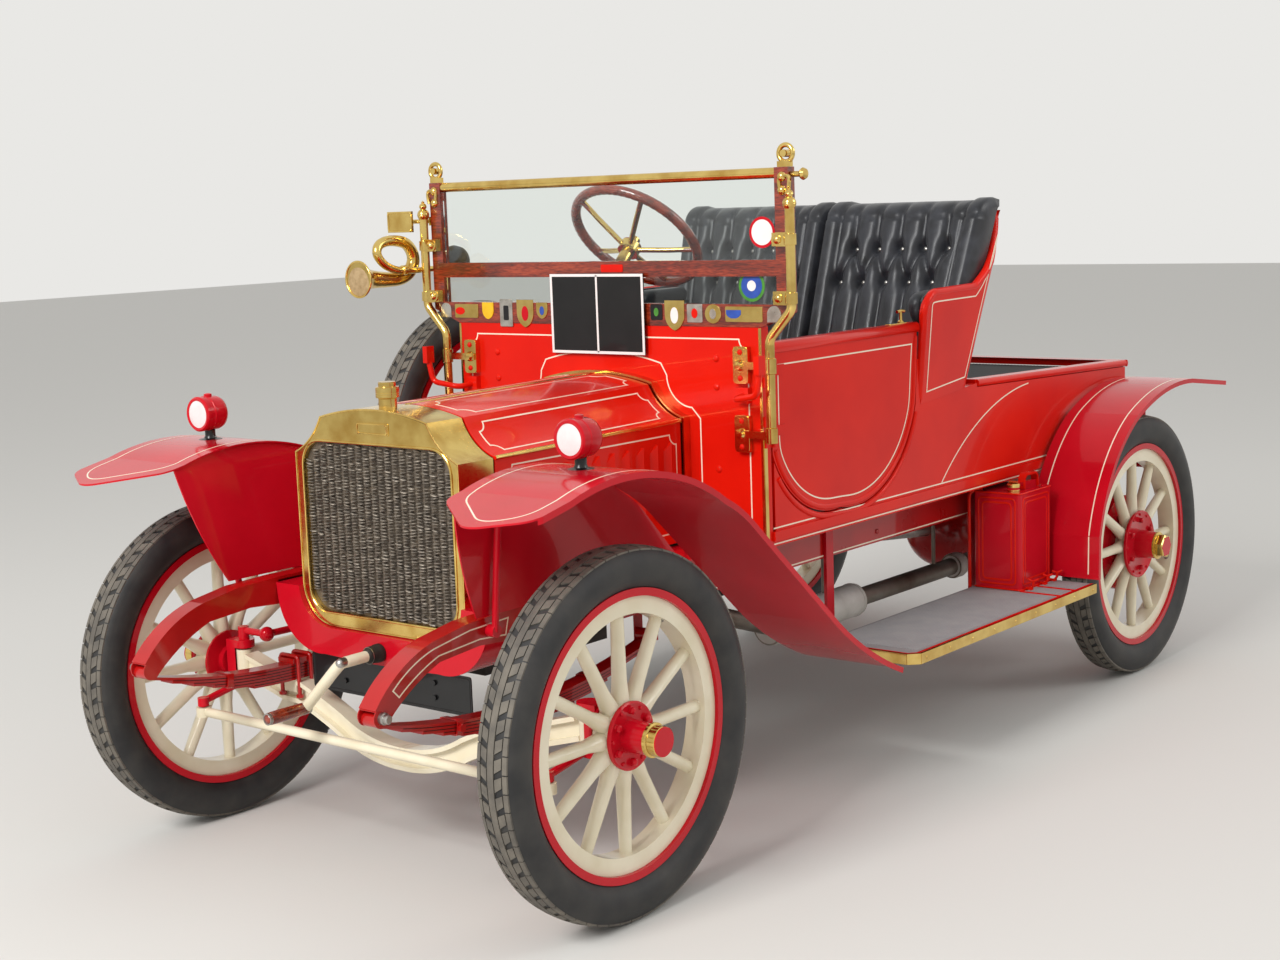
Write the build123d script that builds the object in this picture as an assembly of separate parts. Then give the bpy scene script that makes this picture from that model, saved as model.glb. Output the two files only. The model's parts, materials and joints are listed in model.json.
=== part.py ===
from build123d import *
import math
import os

# An Edwardian open touring two-seater with a load tray: wooden wheels, brass radiator, buttoned bench.
# Millimetres. X is the car's left, Y runs back, Z is up.
# The pieces are made with Y = 0 at the front axle and the axles at axle_height. At the end they are moved so
# that Y = 0 is the middle of the length and the tyres stand on Z = 0.

# Wheels and axles
wheelbase = 2540.0
track = 1330.0
tyre_diameter = 815.0
tyre_width = 105.0
tyre_depth = 89.5           # from the tread down to the rim's edge
axle_height = 407.5         # of both axles, in the heights that every piece above them is given in
rim_width = 70.0
rim_gauge = 4.0
bead_depth = 13.5           # from the rim's edge down to the tyre's seat
felloe_depth = 38.0
felloe_width = 52.0
spoke_count = 12
nave_radius = 70.0          # wooden middle of the wheel
nave_width = 44.0
stub_radius = 16.0          # front stub axle
half_shaft_radius = 20.0
running_gap = 0.3           # between curved faces that turn on each other, and between seated pieces
clear_gap = 6.0             # between pieces that move past each other

# Steering
kingpin_x = 575.0
kingpin_radius = 10.0
axle_eye_radius = 22.0
axle_eye_height = 70.0
track_arm = 140.0           # the track rod lies this far ahead of the kingpins
track_rod_z = 310.0
steer_arm = 90.0            # the drag link's ball lies this far inboard of the kingpin
drag_link_z = 490.0
drop_arm_y = 545.0
drop_arm_x = 426.0
drop_arm_length = 130.0
steering_wheel_centre = (-240.0, 1228.0, 1432.0)
steering_wheel_radius = 205.0
column_tilt = 45.0          # degrees from upright

# Frame
rail_x = 380.0              # middle of a side rail
rail_width = 50.0
rail_top = 660.0
rail_bottom = 565.0
rail_wall = 7.0
rail_end_y = 2990.0
iron_tip_y = -445.0         # dumb iron's spring eye
iron_tip_z = 509.0
iron_eye_radius = 22.0

# Radiator and bonnet
radiator_front_y = -53.0
radiator_depth = 110.0
radiator_half_width = 271.0
radiator_bottom = 556.0
radiator_corner = 100.0
shoulder_z = 972.0
ridge_x = 178.0
ridge_z = 1060.0
crown_z = 1084.0
flute_depth = 14.0
core_half_width = 245.0
core_bottom = 592.0
core_top = 1000.0
core_corner = 66.0
bonnet_gauge = 4.0
bonnet_rise = 10.0          # the bonnet's crown and edges rise this much from radiator to dash
bonnet_flare = 6.0          # and each side moves out this much
bonnet_bottom = 673.0
moulding_width = 26.0        # brass moulding on the dash behind the bonnet
louvre_count = 10
louvre_front_y = 170.0
louvre_pitch = 55.0
louvre_z = (765.0, 908.0)
louvre_point = 24.0          # each louvre runs out to a point above and below
louvre_length = 24.0
louvre_proud = 9.0
louvre_slot = 8.0

# Dash and windscreen
dash_front_y = 769.0
dash_thickness = 30.0
dash_top = 1217.0
screen_overhang = 91.0       # the windscreen's posts stand this far outside the dash
screen_top = 1601.0
screen_post = 40.0
screen_thickness = 28.0
screen_front_y = 767.0
lower_rail_height = 56.0
middle_rail_bottom = 1341.0
middle_rail_height = 40.0
top_rail_radius = 13.0
glass_thickness = 6.0
stay_radius = 12.0

# Body
body_half_width = 511.0
body_wall = 24.0
body_bottom = 668.0
sill_proud = 7.0
floor_thickness = 18.0
door_top = 1176.0
door_front_y = 806.0
door_bottom = 724.0
door_gap = 5.0
hinge_radius = 6.0
hinge_out = 6.5             # the upright hinge axis lies this far outside the body
hinge_ahead = 3.5           # and this far ahead of the door
hinge_z = (945.0, 1095.0)   # foot of each hinge's middle knuckle
hinge_height = 26.0
seat_front_y = 1518.0
seat_line_z = 950.0         # top of the lower body at the seat's front edge
seat_line_slope = 0.09
deck_rear_y = 2836.0
deck_top_z = 989.0          # rim at its front end
deck_slope = 0.03
deck_rim = 35.0
deck_depth = 30.0
arm_top = 1254.0
seat_back_top = 1470.0
squab_top = 1500.0
squab_thickness = 95.0
seat_base_top = 880.0
seat_foot_length = 272.0     # from the seat's front edge to its back, at the foot
seat_lean = 185.0            # the back leans this much over its height
seat_flare = 51.0            # and the seat widens this much on each side
door_to_seat = 13.0
seat_to_deck = 318.0
cushion_height = 130.0

# Wings and running boards
wing_outer_x = 755.0
front_wing_inner_x = 456.0
rear_wing_gap = 14.0         # from the body's side to a rear wing, and from its tyre to the wing's foot
sheet = 4.0
wing_lip = 14.0
front_wing_tip_y = -411.0
rear_wing_tip_y = 3072.0
board_inner_x = 450.0
board_outer_x = 748.0
board_top = 360.0
board_thickness = 26.0
board_front_y = 1078.0
can_size = (154.0, 196.0, 290.0)
can_x = 454.0
can_to_board_end = 205.0

# Spare wheel
spare_from_body = 129.0      # from the body's side to the middle of the tyre
spare_foot_z = 448.5
spare_gap = 16.0             # clear of the front wing's straight run

# Values worked out from those above
tyre_radius = tyre_diameter / 2
hub_z = axle_height
lift = tyre_radius - axle_height
wheel_x = track / 2
rim_edge_radius = tyre_radius - tyre_depth
seat_radius = rim_edge_radius - bead_depth
rim_inner_radius = seat_radius - rim_gauge
felloe_inner_radius = rim_inner_radius - felloe_depth
rail_inner_x = rail_x - rail_width / 2
rail_outer_x = rail_x + rail_width / 2
radiator_back_y = radiator_front_y + radiator_depth
bonnet_front_y = radiator_back_y + clear_gap
moulding_front_y = dash_front_y - moulding_width
bonnet_rear_y = moulding_front_y - clear_gap
dash_back_y = dash_front_y + dash_thickness
dash_half_width = body_half_width
screen_half_width = dash_half_width + screen_overhang
door_rear_y = seat_front_y - door_to_seat
deck_front_y = seat_front_y + seat_to_deck
hinge_xy = (body_half_width + hinge_out, door_front_y - hinge_ahead)
rear_wing_inner_x = body_half_width + rear_wing_gap
rear_wing_front_y = wheelbase - tyre_radius - rear_wing_gap
board_rear_y = rear_wing_front_y - 4
can_corner = (can_x, board_rear_y - can_to_board_end)
length_middle_y = (iron_tip_y - iron_eye_radius + rear_wing_tip_y) / 2


def block(x, y, z):
    """A box; each of x, y and z is its (low, high) pair."""
    size = [high - low for low, high in (x, y, z)]
    centre = [(low + high) / 2 for low, high in (x, y, z)]
    return Pos(*centre) * Box(*size)


def bar(start, end, radius):
    """A round bar from one point to another."""
    run = Vector(end) - Vector(start)
    section = Plane(origin=Vector(start), z_dir=run) * Circle(radius)
    return extrude(section, amount=run.length)


def chain(start, *steps):
    """Joined edges: a step is a straight run's end, or an arc's (middle, end)."""
    edges, here = [], start
    for step in steps:
        if isinstance(step[0], tuple):
            edges.append(ThreePointArc(here, *step))
            here = step[1]
        else:
            edges.append(Line(here, step))
            here = step
    return edges


def outline(start, *steps):
    """A face inside a chain, closed by a straight run where its last step isn't back at the start."""
    end = steps[-1][1] if isinstance(steps[-1][0], tuple) else steps[-1]
    back = [] if end == start else chain(end, start)
    return make_face(Curve() + chain(start, *steps) + back)


def across(face, x_low, x_high):
    """Extrudes a side view, drawn as (y, z), from one X to another."""
    return extrude(Plane.YZ.offset(x_low) * face, amount=x_high - x_low)


def along(face, y_low, y_high):
    """Extrudes a front view, drawn as (x, z), from one Y to another."""
    front = Plane(origin=(0, y_low, 0), x_dir=(1, 0, 0), z_dir=(0, -1, 0))
    return extrude(front * face, amount=y_low - y_high)


def upward(face, z_low, z_high):
    """Extrudes a plan view, drawn as (x, y), from one Z to another."""
    return extrude(Plane.XY.offset(z_low) * face, amount=z_high - z_low)


def strip(edges, thickness, side=Side.RIGHT):
    """A closed face of even thickness on one side of an open chain."""
    return make_face(offset(Wire(edges), amount=thickness, side=side))


def turned(face):
    """Revolves a half section, drawn as (x along the axle, radius), about the X axis."""
    return revolve(Plane.XZ * face, axis=Axis.X)


def both_sides(solid):
    """The solid and its mirror image on the other side of the car."""
    return Compound([*solid.solids(), *mirror(solid, about=Plane.YZ).solids()])


def mirrored(solid):
    """The right-hand copy of a left-hand piece."""
    return mirror(solid, about=Plane.YZ)


def solids_of(*pieces):
    """Several loose pieces that share a node."""
    found = []
    for piece in pieces:
        found.extend(piece.solids())
    return Compound(found)


# Wheels, made about the X axis with the outer side towards +X

def tyre_ring():
    bead_half = rim_width / 2 - rim_gauge - running_gap
    core_radius = tyre_radius - tyre_width / 2
    section = Pos(0, core_radius) * Circle(tyre_width / 2)
    section += Pos(0, (seat_radius + core_radius) / 2) * Rectangle(2 * bead_half, core_radius - seat_radius)
    flange_room = rim_edge_radius + running_gap
    for side in (-1, 1):
        section -= Pos(side * (bead_half + tyre_width / 2), flange_room - tyre_width / 2) * Rectangle(
            tyre_width, tyre_width)
    section -= Pos(0, seat_radius - tyre_width / 2 + running_gap) * Rectangle(tyre_width, tyre_width)
    return turned(section)


def rim_ring():
    section = Pos(0, (rim_inner_radius + seat_radius) / 2) * Rectangle(rim_width, rim_gauge)
    flange_height = rim_edge_radius - rim_inner_radius
    flange = Rectangle(rim_gauge, flange_height)
    for side in (-1, 1):
        section += Pos(side * (rim_width - rim_gauge) / 2, rim_inner_radius + flange_height / 2) * flange
    return turned(section)


def wooden_wheel(hub_sleeve_radius):
    """Twelve tapered spokes with swollen roots between a nave and a felloe."""
    root_radius, neck_radius = nave_radius - 12, nave_radius + 48
    # radius from the axle, half width around the wheel, half width along the axle
    spoke_sections = (
        (root_radius, 23.0, nave_width / 2),
        (neck_radius, 14.0, 18.5),
        (felloe_inner_radius + 4, 14.0, 14.0),
    )
    spoke = loft([Plane(origin=(0, 0, r), x_dir=(0, 1, 0), z_dir=(0, 0, 1)) * Ellipse(around, axial)
                  for r, around, axial in spoke_sections], ruled=True)
    felloe = turned(Pos(0, (felloe_inner_radius + rim_inner_radius - running_gap) / 2)
                    * Rectangle(felloe_width, rim_inner_radius - running_gap - felloe_inner_radius))
    nave = turned(Pos(0, (nave_radius + hub_sleeve_radius) / 2)
                  * Rectangle(nave_width, nave_radius - hub_sleeve_radius))
    spokes = [Rot(X=360 / spoke_count * k) * spoke for k in range(spoke_count)]
    bore = turned(Pos(0, hub_sleeve_radius / 2) * Rectangle(2 * nave_width, hub_sleeve_radius))
    return nave.fuse(felloe, *spokes).cut(bore)


# Hub sizes: outer flange radius, barrel radius, sleeve radius, bore radius, cap radius
front_hub = {"flange": 74.5, "barrel": 37.0, "sleeve": 34.0, "bore": stub_radius + running_gap, "cap": 32.0}
rear_hub = {"flange": 105.5, "barrel": 45.0, "sleeve": 40.0, "bore": half_shaft_radius + running_gap,
            "cap": 33.0}
hub_face_x = nave_width / 2 + running_gap
hub_flange = 6.0
barrel_end_x = 86.0
cap_end_x = 118.0
hub_inner_x = -44.0
drum_radius = 150.0
drum_depth = 56.0
drum_wall = 6.0
hub_bolt_count = 6
hub_bolt_radius = 8.0


def wheel_hub(size, drum=False, hexagon=False):
    """Flanged hub: a barrel outside, a sleeve through the wood and a cap over the axle's end."""
    bore = size["bore"]
    section = outline(
        (hub_inner_x, bore), (hub_inner_x, size["barrel"]), (-hub_face_x - hub_flange, size["barrel"]),
        (-hub_face_x - hub_flange, size["flange"]), (-hub_face_x, size["flange"]),
        (-hub_face_x, size["sleeve"] - running_gap), (hub_face_x, size["sleeve"] - running_gap),
        (hub_face_x, size["flange"]), (hub_face_x + hub_flange, size["flange"]),
        (hub_face_x + hub_flange, size["barrel"]), (barrel_end_x, size["barrel"] - 4),
        (barrel_end_x, bore))
    hub = turned(section)
    if hexagon:
        cap_face = RegularPolygon(size["cap"], 6)
    else:
        cap_face = Circle(size["cap"])
    cap = extrude(Plane.YZ.offset(barrel_end_x) * cap_face, amount=cap_end_x - barrel_end_x)
    hub = hub + cap
    bolt_circle = (size["flange"] + size["barrel"]) / 2
    for k in range(hub_bolt_count):
        angle = math.radians(360 / hub_bolt_count * (k + 0.5))
        seat = (hub_face_x + hub_flange, bolt_circle * math.cos(angle), bolt_circle * math.sin(angle))
        hub += bar(seat, (seat[0] + 7, seat[1], seat[2]), hub_bolt_radius)
    if drum:
        back_x = -hub_face_x - hub_flange
        open_x, web_x, inner = back_x - drum_depth, back_x - drum_wall, drum_radius - drum_wall
        hub += turned(outline((back_x, size["barrel"]), (back_x, drum_radius), (open_x, drum_radius),
                              (open_x, inner), (web_x, inner), (web_x, size["barrel"])))
    return hub


def place_wheel(solid, side, y):
    """Puts a wheel piece on its axle; the right-hand ones are turned end for end."""
    if side > 0:
        return Pos(wheel_x, y, hub_z) * solid
    return Pos(-wheel_x, y, hub_z) * Rot(Z=180) * solid


# Front axle and steering

beam_depth = 56.0
beam_width = 44.0
beam_web = 12.0
beam_flange = 11.0
# Height of the beam's middle line: at the car's middle, at the end of the drop, at the spring seat
beam_mid_z = 250.0
beam_drop_end = (212.0, 305.0)
beam_rise = (300.0, 343.0)
beam_seat = (rail_x, 362.0)


def front_axle():
    """A dropped I-beam with an upright eye at each end."""
    end = (kingpin_x - axle_eye_radius + 4, hub_z)
    seat_x, seat_z = beam_seat
    half_line = chain((0, beam_mid_z), ((115, beam_mid_z + 14), beam_drop_end),
                      (beam_rise, (seat_x - 30, seat_z)), (seat_x + 30, seat_z + 4), end)
    full = strip(half_line, beam_depth / 2, Side.LEFT) + strip(half_line, beam_depth / 2, Side.RIGHT)
    full += mirror(full, about=Plane.YZ)
    inner = strip(half_line, beam_depth / 2 - beam_flange, Side.LEFT)
    inner += strip(half_line, beam_depth / 2 - beam_flange, Side.RIGHT)
    inner += mirror(inner, about=Plane.YZ)
    beam = along(full, -beam_width / 2, beam_width / 2)
    beam -= along(inner, beam_web / 2, beam_width)
    beam -= along(inner, -beam_width, -beam_web / 2)
    for side in (-1, 1):
        low = (side * kingpin_x, 0, hub_z - axle_eye_height / 2)
        high = (side * kingpin_x, 0, hub_z + axle_eye_height / 2)
        beam += bar(low, high, axle_eye_radius)
        beam -= bar((low[0], 0, low[2] - 1), (high[0], 0, high[2] + 1), kingpin_radius + running_gap)
        pad_x = (side * rail_x - spring_width / 2, side * rail_x + spring_width / 2)
        beam += block(pad_x, (-beam_width / 2, beam_width / 2), (beam_seat[1], front_spring["seat_z"]))
    return beam


yoke_gap = 5.0
yoke_plate = 20.0
yoke_radius = 26.0
web_outer_x = wheel_x + hub_inner_x - clear_gap
stub_end_x = wheel_x + barrel_end_x - 6
ball_radius = 13.0


def knuckle(side):
    """A yoke on the kingpin with the stub axle outside and the track arm in front."""
    low_z = hub_z - axle_eye_height / 2 - yoke_gap - yoke_plate
    high_z = hub_z + axle_eye_height / 2 + yoke_gap
    piece = block((kingpin_x, web_outer_x), (-yoke_radius, yoke_radius), (low_z, high_z + yoke_plate))
    piece -= bar((kingpin_x, 0, low_z), (kingpin_x, 0, high_z + yoke_plate), axle_eye_radius + yoke_gap)
    for z in (low_z, high_z):
        plate = Pos(kingpin_x, 0, z + yoke_plate / 2) * Cylinder(yoke_radius, yoke_plate)
        piece += plate + block((kingpin_x, web_outer_x), (-yoke_radius, yoke_radius), (z, z + yoke_plate))
    piece += bar((kingpin_x, 0, low_z), (kingpin_x, 0, high_z + yoke_plate), kingpin_radius)
    piece += bar((web_outer_x, 0, hub_z), (stub_end_x, 0, hub_z), stub_radius)
    arm_z = low_z + yoke_plate / 2
    arm = bar((kingpin_x, -yoke_radius + 6, arm_z), (kingpin_x, -track_arm, track_rod_z + 26), 9)
    boss = bar((kingpin_x, -track_arm, track_rod_z + 15), (kingpin_x, -track_arm, track_rod_z + 36), 14)
    pin = bar((kingpin_x, -track_arm, track_rod_z - 12), (kingpin_x, -track_arm, track_rod_z + 16), 6)
    piece += arm + boss + pin
    if side < 0:
        piece = mirrored(piece)
        ball_at = (-kingpin_x + steer_arm, 0, drag_link_z)
        top = high_z + yoke_plate
        piece += bar((-kingpin_x, 0, top - 4), (-kingpin_x, 0, drag_link_z + 10), 14)
        piece += bar((-kingpin_x, 0, drag_link_z), ball_at, 9)
        piece += Pos(*ball_at) * Sphere(ball_radius)
    return piece


def track_rod():
    """A tube between two forked ends that hang on the arms' pins."""
    tube = bar((-kingpin_x + 16, -track_arm, track_rod_z), (kingpin_x - 16, -track_arm, track_rod_z), 12)
    for side in (-1, 1):
        eye_low = (side * kingpin_x, -track_arm, track_rod_z - 12)
        eye_high = (side * kingpin_x, -track_arm, track_rod_z + 12)
        tube += bar(eye_low, eye_high, 19)
    for side in (-1, 1):
        eye_low = (side * kingpin_x, -track_arm, track_rod_z - 13)
        eye_high = (side * kingpin_x, -track_arm, track_rod_z + 13)
        tube -= bar(eye_low, eye_high, 6 + running_gap)
    return tube


link_front = (-kingpin_x + steer_arm, 0.0, drag_link_z)
link_rear = (-drop_arm_x - 18, drop_arm_y, drag_link_z)
link_radius = 9.0
link_eye_radius = 24.0
drop_pin_radius = 6.0
drop_shaft_radius = 14.0
drop_pin_room = 8.0         # the rear eye is the open pivot of the linkage


def drag_link():
    """A bar from the steering arm's ball back to a wide eye on the drop arm's pin."""
    socket = Pos(*link_front) * Sphere(ball_radius + 6)
    run = Vector(*link_rear) - Vector(*link_front)
    eye_start = Vector(*link_rear) - run.normalized() * (link_eye_radius - 3)
    link = socket + bar(link_front, eye_start, link_radius)
    eye_low = (link_rear[0] - 7, link_rear[1], link_rear[2])
    eye_high = (link_rear[0] + 7, link_rear[1], link_rear[2])
    link += bar(eye_low, eye_high, link_eye_radius)
    bore = drop_pin_radius + drop_pin_room
    link -= bar((eye_low[0] - 1, *eye_low[1:]), (eye_high[0] + 1, *eye_high[1:]), bore)
    link -= Pos(*link_front) * Sphere(ball_radius + running_gap)
    mouth = (link_front[0] - 60, 0, drag_link_z)
    link -= bar(mouth, link_front, link_radius + clear_gap)
    return link - bar(mouth, (link_front[0] - 14, 0, drag_link_z), link_radius + 2 * clear_gap)


def drop_arm():
    """A flat arm that hangs outside the frame, with a pin for the drag link."""
    pivot = (-drop_arm_x, drop_arm_y, drag_link_z + drop_arm_length)
    blade = block((-drop_arm_x - 4, -drop_arm_x + 4), (drop_arm_y - 13, drop_arm_y + 13),
                  (drag_link_z, pivot[2]))
    for z, radius in ((drag_link_z, 15), (pivot[2], 20)):
        blade += bar((-drop_arm_x - 4, drop_arm_y, z), (-drop_arm_x + 4, drop_arm_y, z), radius)
    pin_end = link_rear[0] - 12
    pin_start = (-drop_arm_x, drop_arm_y, drag_link_z)
    return blade + bar(pin_start, (pin_end, drop_arm_y, drag_link_z), drop_pin_radius)


column_dir = Vector(0, math.sin(math.radians(column_tilt)), math.cos(math.radians(column_tilt)))
wheel_centre = Vector(*steering_wheel_centre)
hub_drop = 45.0             # the wheel's boss lies this far below the rim's plane


def steering_wheel():
    """A rim on five spokes that drop to a boss."""
    rim_radius = 14.0
    spokes = 5
    plane = Plane(origin=steering_wheel_centre, z_dir=column_dir, x_dir=(1, 0, 0))
    ring_radius = steering_wheel_radius - rim_radius
    wheel = Pos(0, 0, 0) * Torus(ring_radius, rim_radius)
    wheel += Pos(0, 0, -hub_drop) * Cylinder(30, 30)
    for k in range(spokes):
        angle = math.radians(90 + 360 / spokes * k)
        inner = (20 * math.cos(angle), 20 * math.sin(angle), -hub_drop)
        outer = (ring_radius * math.cos(angle), ring_radius * math.sin(angle), 0)
        wheel += bar(inner, outer, 7)
    return plane * wheel


column_radius = 19.0


def column_bore():
    """Room for the column where it goes through the dash and past the moulding on it."""
    return bar(wheel_centre - column_dir * 100, wheel_centre - column_dir * 900, column_radius + running_gap)


def steering_column():
    """The fixed tube from under the wheel, through the dash, to a box on the frame, and its cross shaft."""
    top = wheel_centre - column_dir * (hub_drop + 15 + running_gap)
    drop = (top.Z - 700) / column_dir.Z
    foot = top - column_dir * drop
    tube = bar(top, foot, column_radius)
    gear_box = block((foot.X - column_radius, foot.X + 60), (foot.Y - 70, foot.Y + 80), (575, 720))
    shaft_y = drop_arm_y
    shaft_z = drag_link_z + drop_arm_length
    shaft_start = (-drop_arm_x + 4 + running_gap, shaft_y, shaft_z)
    return tube + gear_box + bar(shaft_start, (foot.X, shaft_y, shaft_z), drop_shaft_radius)


# Springs: eye and seat heights of each leaf stack
spring_width = 44.0
leaf_gauge = 7.0
leaf_count = 6
front_spring = {"front_y": iron_tip_y, "seat_y": 0.0, "rear_y": 445.0, "eye_z": hub_z + 86.5,
                "seat_z": hub_z - 13.5}
rear_spring = {"front_y": 2060.0, "seat_y": wheelbase, "rear_y": 2960.0, "eye_z": hub_z + 112.5,
               "seat_z": hub_z + 44.5}
spring_eye_radius = 15.0


def leaf_spring(size):
    """A stack of curved leaves, the longest on top, with a rolled eye at each end."""
    half = (size["rear_y"] - size["front_y"]) / 2
    middle_y = (size["rear_y"] + size["front_y"]) / 2
    top_z = size["seat_z"] + leaf_gauge * leaf_count
    sag = size["eye_z"] - top_z
    radius = (half ** 2 + sag ** 2) / (2 * sag)
    centre_z = top_z + radius
    stack = None
    for k in range(leaf_count):
        reach = half * (1 - 0.8 * k / leaf_count)
        angle = math.asin(reach / radius)
        near, far = radius + leaf_gauge * k, radius + leaf_gauge * (k + 1)

        def at(r, a):
            return (middle_y + r * math.sin(a), centre_z - r * math.cos(a))

        leaf = outline(at(near, -angle), (at(near, 0), at(near, angle)), at(far, angle),
                       (at(far, 0), at(far, -angle)))
        stack = leaf if stack is None else stack + leaf
    for y in (size["front_y"], size["rear_y"]):
        stack += Pos(y, size["eye_z"] + spring_eye_radius - leaf_gauge) * Circle(spring_eye_radius)
    spring = across(stack, rail_x - spring_width / 2, rail_x + spring_width / 2)
    clamp = block((rail_x - spring_width / 2 - 6, rail_x + spring_width / 2 + 6),
                  (size["seat_y"] - 32, size["seat_y"] + 32), (top_z, top_z + 12))
    return spring + clamp


def leaf_springs():
    return solids_of(both_sides(leaf_spring(front_spring)), both_sides(leaf_spring(rear_spring)))


# Frame

iron_upper = ((-462, 528), (-393, 592), (-291, 637), (-181, 655))
iron_lower = ((-432, 492), (-353, 552), (-272, 590), (-150, 600))
rail_taper_y = 320.0        # behind this the rail has its full depth


def frame_rail():
    """A side rail: a channel open towards the middle, drawn down in front to a dumb iron."""
    top = chain(iron_upper[0], (iron_upper[1], iron_upper[2]), iron_upper[3], (-60, rail_top),
                (rail_end_y, rail_top))
    bottom = chain((rail_end_y, rail_bottom), (rail_taper_y, rail_bottom), iron_lower[3], iron_lower[2],
                   (iron_lower[1], iron_lower[0]), iron_upper[0])
    face = make_face(Curve() + top + chain((rail_end_y, rail_top), (rail_end_y, rail_bottom)) + bottom)
    rail = across(face, rail_inner_x, rail_outer_x)
    hollow = outline((-60, iron_lower[3][1] + rail_wall), (rail_taper_y, rail_bottom + rail_wall),
                     (rail_end_y + 1, rail_bottom + rail_wall), (rail_end_y + 1, rail_top - rail_wall),
                     (-60, rail_top - rail_wall))
    rail -= across(hollow, rail_inner_x - 1, rail_outer_x - rail_wall)
    eye_middle = (iron_tip_y, iron_tip_z)
    eye = bar((rail_inner_x, *eye_middle), (rail_outer_x, *eye_middle), iron_eye_radius)
    rail += eye
    room = spring_width / 2 + running_gap
    rail -= block((rail_x - room, rail_x + room), (iron_tip_y - 40, iron_tip_y + 60),
                  (iron_tip_z - 60, iron_tip_z + spring_eye_radius))
    for size, ends in ((front_spring, ("rear_y",)), (rear_spring, ("front_y", "rear_y"))):
        for end in ends:
            eye_z = size["eye_z"] + spring_eye_radius - leaf_gauge
            for side in (-1, 1):
                cheek_x = sorted((rail_x + side * room, rail_x + side * (room + 2.5)))
                rail += block(cheek_x, (size[end] - 16, size[end] + 16), (eye_z - 14, rail_bottom + 1))
    return rail


def frame_rails():
    """Both rails; the right-hand one is bored for the drop arm's shaft."""
    shaft_z = drag_link_z + drop_arm_length
    shaft_hole = bar((-rail_outer_x - 1, drop_arm_y, shaft_z), (-rail_inner_x + 1, drop_arm_y, shaft_z),
                     drop_shaft_radius + running_gap)
    return solids_of(frame_rail(), mirrored(frame_rail()) - shaft_hole)


cradle_front_y = -68.0
cradle_back_y = 44.0
cradle_bottom = 486.0
cradle_top = 648.0
cross_member_y = (700.0, 1440.0, 2060.0, 2900.0)
cross_member_length = 46.0


def radiator_face(grow=0.0):
    """The radiator's outline from in front, grown by an even margin."""
    w, c = radiator_half_width, radiator_corner
    bend = c * (1 - math.sqrt(0.5))
    chord = Vector(ridge_x - w, ridge_z - shoulder_z).normalized()
    dip = ((w + ridge_x) / 2 - flute_depth * chord.Y, (shoulder_z + ridge_z) / 2 + flute_depth * chord.X)
    face = outline(
        (-w + c, radiator_bottom), (w - c, radiator_bottom),
        ((w - bend, radiator_bottom + bend), (w, radiator_bottom + c)), (w, shoulder_z),
        (dip, (ridge_x, ridge_z)), ((0, crown_z), (-ridge_x, ridge_z)),
        ((-dip[0], dip[1]), (-w, shoulder_z)), (-w, radiator_bottom + c),
        ((-w + bend, radiator_bottom + bend), (-w + c, radiator_bottom)))
    return offset(face, amount=grow) if grow else face


def core_face(shrink=0.0):
    half, low, high = core_half_width - shrink, core_bottom + shrink, core_top - shrink
    return Pos(0, (low + high) / 2) * RectangleRounded(2 * half, high - low, core_corner - shrink)


def radiator_cradle():
    """The pressed front cross member that carries the radiator between the rails."""
    edge = rail_inner_x - running_gap
    face = outline((-190, cradle_bottom + 4), ((0, cradle_bottom), (190, cradle_bottom + 4)),
                   ((300, 522), (edge - 5, 610)), (edge, cradle_top), (-edge, cradle_top), (-edge + 5, 610),
                   ((-300, 522), (-190, cradle_bottom + 4)))
    cradle = along(face, cradle_front_y, cradle_back_y)
    return cradle - along(radiator_face(running_gap), cradle_front_y - 1, cradle_back_y + 1)


member_bottom = rail_bottom + rail_wall + 3
# Pairs of short bearers beside the engine and the gearbox: (y, inner end)
bearers = ((325.0, 125.0), (385.0, 125.0), (980.0, 130.0), (1270.0, 130.0))
bearer_length = 32.0


def cross_members():
    """The cradle, the members from rail to rail, and the bearers of engine and gearbox."""
    end_x = rail_outer_x - rail_wall - running_gap
    heights = (member_bottom, rail_top - rail_wall - 3)
    members = [radiator_cradle()]
    for y in cross_member_y:
        members.append(block((-end_x, end_x), (y, y + cross_member_length), heights))
    for y, inner_x in bearers:
        members.append(both_sides(block((inner_x + running_gap, end_x), (y, y + bearer_length), heights)))
    return solids_of(*members)


# Radiator

def radiator_shell():
    """Brass shell with fluted shoulders, the header tank and the filler cap."""
    shell = along(radiator_face(), radiator_front_y, radiator_back_y)
    shell -= along(core_face(), radiator_front_y - 1, radiator_back_y + 1)
    cap_steps = ((21.0, 1070.0, 1106.0), (27.0, 1106.0, 1130.0), (20.0, 1130.0, 1142.0))
    for radius, low, high in cap_steps:
        shell += bar((0, 0, low), (0, 0, high), radius)
    return shell


hinge_rod_radius = 5.0


def bonnet_rod():
    """The bonnet's middle hinge: a rod from the radiator to the moulding on the dash."""
    start = (0, radiator_back_y + running_gap, crown_z - 3)
    end = (0, moulding_front_y - running_gap, crown_z + bonnet_rise - 3)
    return bar(start, end, hinge_rod_radius)


def radiator_core():
    return along(core_face(running_gap), radiator_front_y + 12, radiator_back_y - 8)


# Bonnet: two top halves on a middle hinge, each with a louvred side that hangs from its edge

hinge_gap = 5.3 + running_gap


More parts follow.
